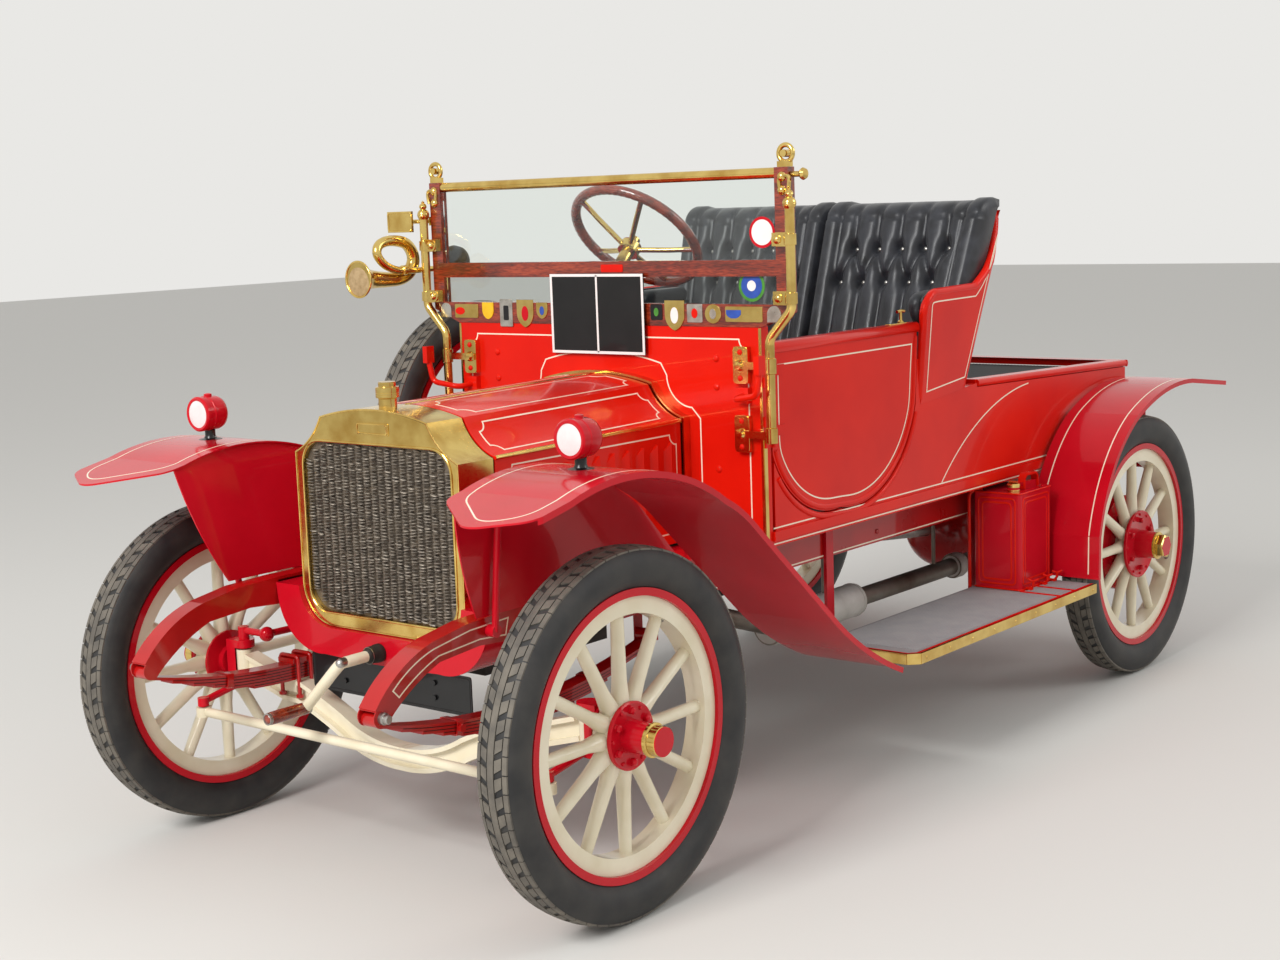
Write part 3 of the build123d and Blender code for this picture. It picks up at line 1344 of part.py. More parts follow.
parts = {
    "frame_rails": frame_rails(),
    "cross_members": cross_members(),
    "front_axle": front_axle(),
    "rear_axle": rear_axle(),
    "leaf_springs": leaf_springs(),
    "engine_block": engine_block(),
    "gearbox": gearbox(),
    "propeller_shaft": propeller_shaft(),
    "exhaust": exhaust(),
    "radiator_shell": radiator_shell(),
    "radiator_core": radiator_core(),
    "bonnet_moulding": bonnet_moulding(),
    "dash_board": dash_board(),
    "windscreen_frame": windscreen_frame(),
    "windscreen_glass": windscreen_glass(),
    "windscreen_brass": windscreen_brass(),
    "body_panels": body_panels(),
    "floor_boards": floor_boards(),
    "seat_box": seat_box(),
    "seat_shell": seat_shell(),
    "seat_cushion": seat_cushion(),
    "seat_squab": seat_squab(),
    "rear_deck": rear_deck(),
    "front_wings": front_wings(),
    "rear_wings": rear_wings(),
    "running_boards": running_boards(),
    "wing_stays": wing_stays(),
    "petrol_can": petrol_can(),
    "side_lamps": side_lamps(),
    "lamp_brackets": lamp_brackets(),
    "horn": horn(),
    "mirror": mirror_piece(),
    "starting_handle": starting_handle(),
    "driver_controls": driver_controls(),
    "spare_tyre": spare(tyre),
    "spare_rim": spare(rim),
    "steering_column": steering_column(),
    "steering_wheel": steering_wheel(),
    "knuckle_left": knuckle(1),
    "knuckle_right": knuckle(-1),
    "track_rod": track_rod(),
    "drag_link": drag_link(),
    "drop_arm": drop_arm(),
    "door_left": door_left(),
    "bonnet_top_left": bonnet_top(),
    "bonnet_top_right": mirrored(bonnet_top()),
    "bonnet_side_left": bonnet_side(),
    "bonnet_side_right": mirrored(bonnet_side()),
}
for place, y, wood, hub in (("front", 0.0, wood_front, hub_front), ("rear", wheelbase, wood_rear, hub_rear)):
    for side_name, side in (("left", 1), ("right", -1)):
        name = f"{place}_{side_name}"
        parts[f"tyre_{name}"] = place_wheel(tyre, side, y)
        parts[f"wheel_{name}"] = place_wheel(wood, side, y)
        parts[f"hub_{name}"] = place_wheel(solids_of(hub, rim), side, y)

os.makedirs("parts", exist_ok=True)
for name, shape in parts.items():
    export_step(Pos(0, -length_middle_y, lift) * shape, f"parts/{name}.step")
print("middle of the length is", length_middle_y, "behind the front axle;", len(parts), "pieces")
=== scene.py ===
import json
import math
import bmesh
import bpy
from mathutils import Matrix, Vector

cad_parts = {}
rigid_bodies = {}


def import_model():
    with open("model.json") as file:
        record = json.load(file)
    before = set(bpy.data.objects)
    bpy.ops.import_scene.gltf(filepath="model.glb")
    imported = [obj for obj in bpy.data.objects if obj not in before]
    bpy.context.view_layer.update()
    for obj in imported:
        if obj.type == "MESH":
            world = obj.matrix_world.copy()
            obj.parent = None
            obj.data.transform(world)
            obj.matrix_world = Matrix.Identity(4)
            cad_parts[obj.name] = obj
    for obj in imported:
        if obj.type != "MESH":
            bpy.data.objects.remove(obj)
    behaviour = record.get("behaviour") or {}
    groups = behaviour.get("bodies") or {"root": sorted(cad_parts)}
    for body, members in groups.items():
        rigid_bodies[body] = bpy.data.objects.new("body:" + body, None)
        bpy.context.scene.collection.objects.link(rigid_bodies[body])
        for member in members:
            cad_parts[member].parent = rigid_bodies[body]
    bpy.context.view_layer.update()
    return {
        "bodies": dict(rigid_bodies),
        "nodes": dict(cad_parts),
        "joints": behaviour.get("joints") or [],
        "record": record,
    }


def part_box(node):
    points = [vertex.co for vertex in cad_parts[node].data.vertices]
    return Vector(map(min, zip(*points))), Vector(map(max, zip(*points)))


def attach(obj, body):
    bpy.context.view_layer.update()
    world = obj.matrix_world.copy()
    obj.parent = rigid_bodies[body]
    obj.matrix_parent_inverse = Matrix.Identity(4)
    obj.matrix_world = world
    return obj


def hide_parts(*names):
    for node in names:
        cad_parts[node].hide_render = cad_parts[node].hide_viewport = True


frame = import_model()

# An Edwardian open two-seater, dressed over its CAD frame.
# Metres. The car's nose points to -Y, its left is +X, the ground is Z = 0.
hubLow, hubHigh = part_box("hub_front_left")
axleY = hubLow.y / 2 + hubHigh.y / 2    # the front axle's line


def place(x, y, z):
    # millimetres with Y counted from the front axle, as on the drawing, to the frame's metres
    return Vector((x / 1000, axleY + y / 1000, z / 1000))


def toLinear(hexText):
    # an sRGB hex value as a linear colour
    parts = [int(hexText[i:i + 2], 16) / 255 for i in (1, 3, 5)]
    return tuple(p / 12.92 if p <= 0.04045 else ((p + 0.055) / 1.055) ** 2.4 for p in parts) + (1.0,)


def addNode(tree, kind, settings=None, links=None):
    # settings name a property or an input; links give an input its (node, output)
    node = tree.nodes.new(kind)
    for key, value in (settings or {}).items():
        if isinstance(key, str) and hasattr(node, key):
            setattr(node, key, value)
        else:
            node.inputs[key].default_value = value
    for key, (source, output) in (links or {}).items():
        tree.links.new(source.outputs[output], node.inputs[key])
    return node


def startMaterial(name):
    # a new material, its tree and the coordinates that its patterns follow
    material = bpy.data.materials.new(name)
    material.use_nodes = True
    tree = material.node_tree
    return material, tree, (addNode(tree, "ShaderNodeTexCoord"), "Object")


def setShader(tree, values, links):
    shader = tree.nodes["Principled BSDF"]
    for key, value in values.items():
        shader.inputs[key].default_value = value
    for key, (source, output) in links.items():
        tree.links.new(source.outputs[output], shader.inputs[key])


# each of these gives back (node, output), ready to be linked
def addNoise(tree, spot, sizeMm, detail, distortion=0.0):
    return addNode(tree, "ShaderNodeTexNoise", {
        "Scale": 1000 / sizeMm, "Detail": detail, "Distortion": distortion}, {"Vector": spot}), "Fac"


def addColours(tree, source, stops):
    # stops are (position, hex) pairs
    ramp = addNode(tree, "ShaderNodeValToRGB", links={"Fac": source})
    elements = ramp.color_ramp.elements
    while len(elements) < len(stops):
        elements.new(0.5)
    for element, (position, hexText) in zip(elements, stops):
        element.position = position
        element.color = toLinear(hexText)
    return ramp, "Color"


def addGloss(tree, source, low, more):
    return addNode(tree, "ShaderNodeMapRange", {"To Min": low, "To Max": low + more}, {"Value": source}), "Result"


def addBump(tree, source, strength, distance, under=None):
    links = {"Height": source, "Normal": under} if under else {"Height": source}
    return addNode(tree, "ShaderNodeBump", {"Strength": strength, "Distance": distance}, links), "Normal"


def coachEnamel(name, look):
    # brushed and rubbed-down coach enamel under varnish: deep colour, a wet gloss, faint ripple
    material, tree, spot = startMaterial(name)
    mottle = addNoise(tree, spot, look["mottleMm"], 3.0)
    ripple = addNoise(tree, spot, look["rippleMm"], 2.0)
    setShader(tree, {
        "IOR": 1.5, "Specular IOR Level": 0.3, "Specular Tint": toLinear(look.get("sheen", "#FFFFFF")),
        "Coat Weight": look["coat"], "Coat Roughness": 0.04, "Coat IOR": 1.45}, {
        "Base Color": addColours(tree, mottle, ((0.3, look["deep"]), (0.7, look["bright"]))),
        "Roughness": addGloss(tree, mottle, look["gloss"], 0.1),
        "Normal": addBump(tree, ripple, look["ripple"], 0.001)})
    return material


def polishedMetal(name, look):
    # hand-polished metal: mirror gloss with soft wipe marks and a little tarnish
    material, tree, spot = startMaterial(name)
    cloud = addNoise(tree, spot, look["cloudMm"], 4.0)
    wipe = addNoise(tree, spot, look["wipeMm"], 5.0, 1.5)
    setShader(tree, {"Metallic": 1.0}, {
        "Base Color": addColours(tree, cloud, ((0.3, look["tarnish"]), (0.6, look["clean"]))),
        "Roughness": addGloss(tree, wipe, look["gloss"], look["spread"]),
        "Normal": addBump(tree, wipe, look["bump"], 0.0005)})
    return material


def varnishedWood(name, look):
    # quarter-sawn timber: long dark pores and broad bands along the grain, under varnish or paint
    material, tree, spot = startMaterial(name)
    stretch = addNode(tree, "ShaderNodeMapping", {"Scale": look["stretch"]}, {"Vector": spot}), "Vector"
    bands = addNoise(tree, stretch, look["bandMm"], 4.0, 0.6)
    pores = addNoise(tree, stretch, look["poreMm"], 2.0)
    both = addNode(tree, "ShaderNodeMath", {"operation": "MULTIPLY"}, {0: bands, 1: pores}), "Value"
    setShader(tree, {"Roughness": look["gloss"], "Coat Weight": look["coat"], "Coat Roughness": 0.08}, {
        "Base Color": addColours(tree, both, ((0.15, look["dark"]), (0.28, look["mid"]), (0.42, look["light"]))),
        "Normal": addBump(tree, pores, look["bump"], 0.0004)})
    return material


def blackHide(name, look):
    # grained upholstery hide: small raised pebbles, creases and a dull dressed shine
    material, tree, spot = startMaterial(name)
    pebbles = addNode(tree, "ShaderNodeTexVoronoi", {
        "feature": "DISTANCE_TO_EDGE", "Scale": 1000 / look["pebbleMm"]}, {"Vector": spot}), "Distance"
    creases = addNoise(tree, spot, look["creaseMm"], 6.0, 0.8)
    setShader(tree, {"IOR": 1.45, "Sheen Weight": 0.1}, {
        "Base Color": addColours(tree, creases, ((0.35, look["dark"]), (0.7, look["worn"]))),
        "Roughness": addGloss(tree, creases, look["gloss"], 0.2),
        "Normal": addBump(tree, creases, 0.25, 0.003, addBump(tree, pebbles, 0.35, 0.0006))})
    return material


def dullSurface(name, look):
    # rubber, cast or sheet metal with dust and grime: colour wanders, the surface is fine-grained; on the radiator's
    # gills the lighter colour is painted highlight instead of dust
    material, tree, spot = startMaterial(name)
    dustAndHighlightMask = addNoise(tree, spot, look["grimeMm"], 6.0)
    grain = addNoise(tree, spot, look["grainMm"], 3.0)
    setShader(tree, {"Metallic": look["metal"]}, {
        "Base Color": addColours(tree, dustAndHighlightMask, ((0.35, look["clean"]), (0.75, look["dusty"]))),
        "Roughness": addGloss(tree, dustAndHighlightMask, look["gloss"], 0.2),
        "Normal": addBump(tree, grain, look["bump"], 0.0008)})
    return material


def clearGlass(name, look):
    # drawn plate glass: colourless with the faintest green, very slightly wavy
    material, tree, spot = startMaterial(name)
    wave = addNoise(tree, spot, look["waveMm"], 1.0)
    setShader(tree, {"Base Color": toLinear(look["tint"]), "Roughness": 0.0, "IOR": 1.45, "Transmission Weight": 1.0},
              {"Normal": addBump(tree, wave, 0.05, 0.001)})
    return material


print("materials")
redEnamel = coachEnamel("red coach enamel", {
    "deep": "#D0150A", "bright": "#E11E0C", "mottleMm": 260.0, "gloss": 0.2, "rippleMm": 45.0, "ripple": 0.03,
    "sheen": "#FF7A68", "coat": 0.24})
wingEnamel = coachEnamel("crimson coach enamel", {
    "deep": "#B80A1C", "bright": "#CC1024", "mottleMm": 260.0, "gloss": 0.18, "rippleMm": 45.0, "ripple": 0.03,
    "sheen": "#FF8A80", "coat": 0.35})
# the chassis is the body's red, painted darker as shade under the body
shadedChassisEnamel = coachEnamel("chassis red darkened as painted shade", {
    "deep": "#A00C0C", "bright": "#B81110", "mottleMm": 120.0, "gloss": 0.24, "rippleMm": 12.0, "ripple": 0.08,
    "coat": 0.6})
creamEnamel = coachEnamel("cream enamel", {
    "deep": "#DDD2B4", "bright": "#EAE1C8", "mottleMm": 90.0, "gloss": 0.25, "rippleMm": 9.0, "ripple": 0.06,
    "coat": 0.5})
brass = polishedMetal("polished brass", {
    "clean": "#E6C878", "tarnish": "#C9A355", "cloudMm": 60.0, "wipeMm": 14.0, "gloss": 0.1, "spread": 0.12,
    "bump": 0.05})
steel = polishedMetal("bright steel", {
    "clean": "#B9B7B2", "tarnish": "#8D8983", "cloudMm": 40.0, "wipeMm": 8.0, "gloss": 0.28, "spread": 0.2,
    "bump": 0.12})
mahogany = varnishedWood("varnished mahogany", {
    "dark": "#541809", "mid": "#842A12", "light": "#A24020", "stretch": (0.12, 1.0, 1.0), "bandMm": 22.0,
    "poreMm": 2.5, "bump": 0.08, "gloss": 0.25, "coat": 0.8})
hide = blackHide("black upholstery hide", {
    "dark": "#1A1B1F", "worn": "#303238", "pebbleMm": 3.0, "creaseMm": 55.0, "gloss": 0.26})
tyreRubber = dullSurface("black tyre rubber", {
    "clean": "#1F1F20", "dusty": "#3A3835", "grimeMm": 70.0, "grainMm": 2.0, "gloss": 0.5, "bump": 0.15, "metal": 0.0})
matRubber = dullSurface("ribbed rubber matting", {
    "clean": "#1C1C1E", "dusty": "#2E2D2C", "grimeMm": 90.0, "grainMm": 3.0, "gloss": 0.55, "bump": 0.2, "metal": 0.0})
treadMat = dullSurface("grey rubber step tread", {
    "clean": "#8C8B8C", "dusty": "#989695", "grimeMm": 60.0, "grainMm": 2.0, "gloss": 0.45, "bump": 0.2, "metal": 0.0})
castIron = dullSurface("sand-cast iron", {
    "clean": "#2A2826", "dusty": "#4B443C", "grimeMm": 50.0, "grainMm": 3.0, "gloss": 0.5, "bump": 0.5, "metal": 0.6})
exhaustSteel = dullSurface("heat-browned sheet steel", {
    "clean": "#8A857C", "dusty": "#5E4636", "grimeMm": 130.0, "grainMm": 4.0, "gloss": 0.35, "bump": 0.3,
    "metal": 0.8})
coreMetal = dullSurface("radiator gilling", {
    "clean": "#5A5148", "dusty": "#857868", "grimeMm": 25.0, "grainMm": 3.0, "gloss": 0.45, "bump": 0.4, "metal": 0.5})
paneGlass = clearGlass("plate glass", {"tint": "#F4FAF7", "waveMm": 1000 / 6})

nodeFinish = {
    "red_paint": redEnamel, "crimson_paint": wingEnamel, "maroon_paint": shadedChassisEnamel, "cream_paint": creamEnamel,
    "cream_wood": creamEnamel, "mahogany": mahogany, "brass": brass, "core": coreMetal, "iron": castIron,
    "steel": steel, "exhaust_steel": exhaustSteel, "tyre_rubber": tyreRubber, "leather": hide, "mat": matRubber,
    "tread": treadMat, "pane": paneGlass}
for part in frame["record"]["subparts"]:
    node = frame["nodes"][part["node"]]
    node.data.materials.clear()
    node.data.materials.append(nodeFinish[part["material_slot"]])

print("tools for the pieces")
toFrame = Matrix.Translation(place(0, 0, 0)) @ Matrix.Scale(0.001, 4)
toFront, toRear, toLeft, toRight = (0, -1, 0), (0, 1, 0), (1, 0, 0), (-1, 0, 0)
upward, downward = (0, 0, 1), (0, 0, -1)
forward = (toLeft, upward)    # right and up on anything that faces the front


def curveLine(start, *steps, gap=12.0):
    # a flat drawn line; each step is a point, or (a point on the way, the end) for an arc
    points = [Vector(start)]
    for step in steps:
        a = points[-1]
        if not isinstance(step[0], (tuple, Vector)):
            end = Vector(step)
            count = max(1, round((end - a).length / gap))
            points += [a.lerp(end, k / count) for k in range(1, count + 1)]
            continue
        mid, end = Vector(step[0]), Vector(step[1])
        d = 2 * (a.x * (mid.y - end.y) + mid.x * (end.y - a.y) + end.x * (a.y - mid.y))
        aa, mm, ee = a.dot(a), mid.dot(mid), end.dot(end)
        centre = Vector(((aa * (mid.y - end.y) + mm * (end.y - a.y) + ee * (a.y - mid.y)) / d,
                         (aa * (end.x - mid.x) + mm * (a.x - end.x) + ee * (mid.x - a.x)) / d))
        turn = 1 if (mid - a).cross(end - mid) > 0 else -1
        angleFrom = math.atan2(a.y - centre.y, a.x - centre.x)
        angleTo = math.atan2(end.y - centre.y, end.x - centre.x)
        sweep = ((angleTo - angleFrom) * turn) % (2 * math.pi) * turn
        radius = (a - centre).length
        count = max(3, round(abs(sweep) * radius / gap))
        angles = [angleFrom + sweep * k / count for k in range(1, count + 1)]
        points += [centre + Vector((math.cos(angle), math.sin(angle))) * radius for angle in angles]
    return points


def roundCorners(corners, radius, closed=False, gap=6.0):
    # a flat line through the corners, each turned on an arc
    count = len(corners)
    corners = [Vector(c) for c in corners]
    points = [] if closed else [corners[0]]
    for k in range(0 if closed else 1, count if closed else count - 1):
        here = corners[k]
        back, on = corners[k - 1] - here, corners[(k + 1) % count] - here
        cut = min(radius, back.length * 0.49, on.length * 0.49)
        a, b = here + back.normalized() * cut, here + on.normalized() * cut
        steps = max(2, round(cut * 1.5 / gap))
        points += [a.lerp(here, t).lerp(here.lerp(b, t), t) for t in (i / steps for i in range(steps + 1))]
    return points if closed else points + [corners[-1]]


def notchedFrame(low, high, notch):
    # a coachpainter's frame: each corner steps in on a hollow quarter circle
    (x0, y0), (x1, y1) = low, high
    points = []
    steps = max(3, round(notch * 1.57 / 5.0))    # one about every 5 mm of the quarter circle
    for cx, cy, first in ((x0, y0, 90), (x1, y0, 180), (x1, y1, 270), (x0, y1, 0)):
        arc = [math.radians(first - 90 * k / steps) for k in range(steps + 1)]
        points += [Vector((cx + notch * math.cos(a), cy + notch * math.sin(a))) for a in arc]
    return points


def spread(points, gap, closed=False):
    # adds points on long runs, so that a line can follow a curved panel
    points = [Vector(p) for p in points]
    line = points + [points[0]] if closed else points
    dense = []
    for a, b in zip(line, line[1:]):
        count = max(1, math.ceil((b - a).length / gap))
        dense += [a.lerp(b, k / count) for k in range(count)]
    return dense if closed else dense + [line[-1]]


def stoodUp(line, y, middle=(0, 0)):
    # a flat (right, up) line set upright across the car at a distance from the front axle
    return [Vector((middle[0] + p[0], y, middle[1] + p[1])) for p in line]


def mirrored(line):
    # the same flat line on the other side, drawn the other way
    return [(-p[0], p[1]) for p in reversed(line)]


def turns(steps, start=0):
    # even angles once round a circle
    return [2 * math.pi * (k + start) / steps for k in range(steps)]


def skin(mesh, rings):
    # faces between neighbouring rings of vertices
    for a, b in zip(rings, rings[1:]):
        for k in range(len(a)):
            n = (k + 1) % len(a)
            mesh.faces.new((a[k], a[n], b[n], b[k]))


def sweepStrip(mesh, spots, section, closed=False):
    # carries a closed section (across the line, off the surface) along (point, outward direction) spots
    count = len(spots)
    rings = []
    for k, (point, normal) in enumerate(spots):
        before = point - spots[k - 1][0] if k or closed else spots[1][0] - point
        after = spots[(k + 1) % count][0] - point if k < count - 1 or closed else before
        before, after = before.normalized(), after.normalized()
        ahead = (before + after).normalized()
        side = ahead.cross(normal).normalized()
        stretch = 1 / max(0.45, ahead.dot(after))    # a mitre, but not a long one
        rings.append([mesh.verts.new(point + side * u * stretch + normal * v) for u, v in section])
    skin(mesh, rings + rings[:1] if closed else rings)
    if not closed:
        mesh.faces.new(rings[0])
        mesh.faces.new(list(reversed(rings[-1])))


def flatStrip(mesh, points, normal, section, closed=False):
    # the same on a surface that faces one way
    sweepStrip(mesh, [(Vector(p), Vector(normal)) for p in points], section, closed)


def flatSection(width, proud, sunk=0.3):
    return [(-width / 2, -sunk), (-width / 2, proud), (width / 2, proud), (width / 2, -sunk)]


def roundSection(radius, steps=10):
    return [(radius * math.cos(a), radius * math.sin(a)) for a in turns(steps)]


def tube(mesh, points, radius, steps=10, closed=False):
    # a round bar or wire along points in space
    points = [Vector(p) for p in points]
    spots = []
    normal = Vector((0.31, 0.17, 0.93))    # a direction that no bar here starts in
    for k, point in enumerate(points):
        last = k == len(points) - 1 and not closed
        ahead = (point - points[k - 1] if last else points[(k + 1) % len(points)] - point).normalized()
        normal = (normal - ahead * normal.dot(ahead)).normalized()
        spots.append((point, normal))
    sweepStrip(mesh, spots, roundSection(radius, steps), closed)


def lathe(mesh, profile, at, axis, steps=24):
    # turns (radius, distance along the axis) pairs about the axis; radius 0 closes an end
    at, axis = Vector(at), Vector(axis).normalized()
    side = axis.orthogonal().normalized()
    other = axis.cross(side)
    rings = []
    for radius, along in profile:
        around = [(side * math.cos(a) + other * math.sin(a)) * radius for a in turns(steps)] if radius else [Vector()]
        rings.append([mesh.verts.new(at + axis * along + spot) for spot in around])
    for a, b in zip(rings, rings[1:]):
        for k in range(steps):
            n = (k + 1) % steps
            if len(a) == 1:
                mesh.faces.new((a[0], b[k], b[n]))
            elif len(b) == 1:
                mesh.faces.new((a[k], a[n], b[0]))
            else:
                mesh.faces.new((a[k], a[n], b[n], b[k]))
    for ring in (rings[0], rings[-1]):
        if len(ring) > 1:
            mesh.faces.new(ring)


def raisedPlate(mesh, outline, at, right, up, thickness, chamfer=0.6):
    # a flat plate with a small chamfer round its face; the outline is (right, up) pairs
    at, right, up = Vector(at), Vector(right), Vector(up)
    out = right.cross(up)
    outline = [Vector(p) for p in outline]
    middle = sum(outline, Vector((0, 0))) / len(outline)
    rings = []
    for inset, height in ((0, 0), (0, thickness - chamfer), (chamfer, thickness)):
        drawn = [p - (p - middle).normalized() * inset for p in outline]
        rings.append([mesh.verts.new(at + right * q.x + up * q.y + out * height) for q in drawn])
    skin(mesh, rings)
    mesh.faces.new(rings[-1])
    mesh.faces.new(list(reversed(rings[0])))


def oval(halfWidth, halfHeight):
    return [(halfWidth * math.cos(a), halfHeight * math.sin(a)) for a in turns(24)]


def oblong(halfWidth, halfHeight):
    return [(-halfWidth, -halfHeight), (halfWidth, -halfHeight), (halfWidth, halfHeight), (-halfWidth, halfHeight)]


def softOblong(halfWidth, halfHeight, radius=4, gap=2.0):
    return roundCorners(oblong(halfWidth, halfHeight), radius, closed=True, gap=gap)


def flip(vertices):
    for vertex in vertices:
        vertex.co.x = -vertex.co.x


def addMirror(mesh):
    # the other side of the car, as a mirror image about X = 0
    copy = bmesh.ops.duplicate(mesh, geom=mesh.verts[:] + mesh.edges[:] + mesh.faces[:])["geom"]
    flip(g for g in copy if isinstance(g, bmesh.types.BMVert))


def settle(name, mesh, body, replaced, smooth):
    # shades, links and parents a finished mesh that already holds its material, and hides the parts that it replaces
    for polygon in mesh.polygons:
        polygon.use_smooth = smooth > 0
    if smooth > 0:
        mesh.set_sharp_from_angle(angle=math.radians(smooth))
    piece = bpy.data.objects.new(name, mesh)
    bpy.context.scene.collection.objects.link(piece)
    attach(piece, body)
    if replaced:
        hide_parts(*replaced)
    return piece


def finishPiece(name, mesh, material, slotName, body="chassis", replaced=(), smooth=40.0):
    # from millimetres on the drawing to a piece in the frame
    bmesh.ops.recalc_face_normals(mesh, faces=mesh.faces)
    mesh.transform(toFrame)
    data = bpy.data.meshes.new(name)
    mesh.to_mesh(data)
    mesh.free()
    data.materials.append(material)
    return settle(name, data, body, replaced, smooth)


def onePiece(name, shape, values, material, slotName, **rest):
    # a piece that is a single turned, swept or flat shape
    mesh = bmesh.new()
    shape(mesh, *values)
    finishPiece(name, mesh, material, slotName, **rest)


def startTree(name, sockets):
    # a Geometry Nodes tree with named inputs and its two end nodes
    tree = bpy.data.node_groups.new(name, "GeometryNodeTree")
    tree.interface.new_socket("Geometry", in_out="INPUT", socket_type="NodeSocketGeometry")
    for socketName, kind in sockets:
        tree.interface.new_socket(socketName, in_out="INPUT", socket_type=kind)
    tree.interface.new_socket("Geometry", in_out="OUTPUT", socket_type="NodeSocketGeometry")
    return tree, addNode(tree, "NodeGroupInput")


def endTree(tree, given, each):
    # every tree ends in real geometry with its finish on it
    real = addNode(tree, "GeometryNodeRealizeInstances", links={"Geometry": (each, "Instances")})
    finished = addNode(tree, "GeometryNodeSetMaterial", links={
        "Geometry": (real, "Geometry"), "Material": (given, "Finish")})
    addNode(tree, "NodeGroupOutput", links={"Geometry": (finished, "Geometry")})


def grow(name, tree, mesh, values, body="chassis", smooth=40.0):
    # runs a tree on a mesh given in millimetres and keeps the plain mesh that it makes
    data = bpy.data.meshes.new(name)
    mesh.to_mesh(data)
    mesh.free()
    seed = bpy.data.objects.new(name + "Seed", data)
    bpy.context.scene.collection.objects.link(seed)
    modifier = seed.modifiers.new("tree", "NODES")
    modifier.node_group = tree
    for socket in tree.interface.items_tree:
        if socket.in_out == "INPUT" and socket.name in values:
            modifier[socket.identifier] = values[socket.name]
    made = bpy.data.meshes.new_from_object(seed.evaluated_get(bpy.context.evaluated_depsgraph_get()))
    seed.modifiers.remove(modifier)
    bpy.data.objects.remove(seed)
    made.name = name
    made.transform(toFrame)
    return settle(name, made, body, (), smooth)


def standEach(tree, given, shape, output):
    # ends a tree with the shape at each point, standing along the point's "aim"
    aim = addNode(tree, "GeometryNodeInputNamedAttribute", {"data_type": "FLOAT_VECTOR", "Name": "aim"})
    turn = addNode(tree, "FunctionNodeAlignRotationToVector", {"axis": "Z"}, {"Vector": (aim, "Attribute")})
    each = addNode(tree, "GeometryNodeInstanceOnPoints", links={
        "Points": (given, "Geometry"), "Instance": (shape, output), "Rotation": (turn, "Rotation")})
    endTree(tree, given, each)


# domed heads of rivets, screws, nails and buttons
headTree, headIn = startTree("domed heads", (
    ("Radius", "NodeSocketFloat"), ("Flatness", "NodeSocketFloat"), ("Finish", "NodeSocketMaterial")))
headBall = addNode(headTree, "GeometryNodeMeshUVSphere", {"Segments": 12, "Rings": 6}, {"Radius": (headIn, "Radius")})
headFlat = addNode(headTree, "ShaderNodeCombineXYZ", {"X": 1.0, "Y": 1.0}, {"Z": (headIn, "Flatness")})
headShape = addNode(headTree, "GeometryNodeTransform", links={
    "Geometry": (headBall, "Mesh"), "Scale": (headFlat, "Vector")})
standEach(headTree, headIn, headShape, "Geometry")

# plain hexagon heads and nuts
hexTree, hexIn = startTree("hexagon heads", (
    ("Radius", "NodeSocketFloat"), ("Height", "NodeSocketFloat"), ("Finish", "NodeSocketMaterial")))
hexBody = addNode(hexTree, "GeometryNodeMeshCone", {"Vertices": 6}, {
    "Radius Top": (hexIn, "Radius"), "Radius Bottom": (hexIn, "Radius"), "Depth": (hexIn, "Height")})
standEach(hexTree, hexIn, hexBody, "Mesh")

# a mesh repeated evenly about the X axis
ringTree, ringIn = startTree("round the axle", (("Count", "NodeSocketInt"), ("Finish", "NodeSocketMaterial")))
ringPoints = addNode(ringTree, "GeometryNodePoints", links={"Count": (ringIn, "Count")})
ringIndex = addNode(ringTree, "GeometryNodeInputIndex")
ringShare = addNode(ringTree, "ShaderNodeMath", {"operation": "DIVIDE"}, {
    0: (ringIndex, "Index"), 1: (ringIn, "Count")})
ringAngle = addNode(ringTree, "ShaderNodeMath", {"operation": "MULTIPLY", 1: 2 * math.pi}, {0: (ringShare, "Value")})
ringTurn = addNode(ringTree, "ShaderNodeCombineXYZ", links={"X": (ringAngle, "Value")})
ringEach = addNode(ringTree, "GeometryNodeInstanceOnPoints", links={
    "Points": (ringPoints, "Points"), "Instance": (ringIn, "Geometry"), "Rotation": (ringTurn, "Vector")})
endTree(ringTree, ringIn, ringEach)


def pointsWithAim(places):
    # (point, outward direction) pairs as loose vertices for a tree
    mesh = bmesh.new()
    aim = mesh.verts.layers.float_vector.new("aim")
    for point, direction in places:
        vertex = mesh.verts.new(Vector(point))
        vertex[aim] = Vector(direction)
    return mesh


def bothSides(places):
    return places + [((-p[0], p[1], p[2]), (-d[0], d[1], d[2])) for p, d in places]


def heads(name, places, radius, flatness, material, body="chassis"):
    grow(name, headTree, pointsWithAim(places), {"Radius": radius, "Flatness": flatness, "Finish": material},
         body)


def hexHeads(name, places, radius, height, material):
    grow(name, hexTree, pointsWithAim(places), {"Radius": radius, "Height": height, "Finish": material},
         smooth=20.0)


print("tyres")
dustyTread = dullSurface("worn tyre tread", {
    "clean": "#57524B", "dusty": "#756E63", "grimeMm": 45.0, "grainMm": 2.0, "gloss": 0.6, "bump": 0.3, "metal": 0.0})
tyreForm = {"tread": 407.5, "side": 52.5, "crownWidth": 78.0, "bead": 304.6, "rimEdge": 318.4, "rimHalf": 30.6,
            "grooveDepth": 4.0, "groove": 2.5, "ribWidth": 16.0, "bandWidth": 17.0, "pitches": 66, "gap": 4.0,
            "lean": 0.28, "roundOff": 4.6, "steps": 132}


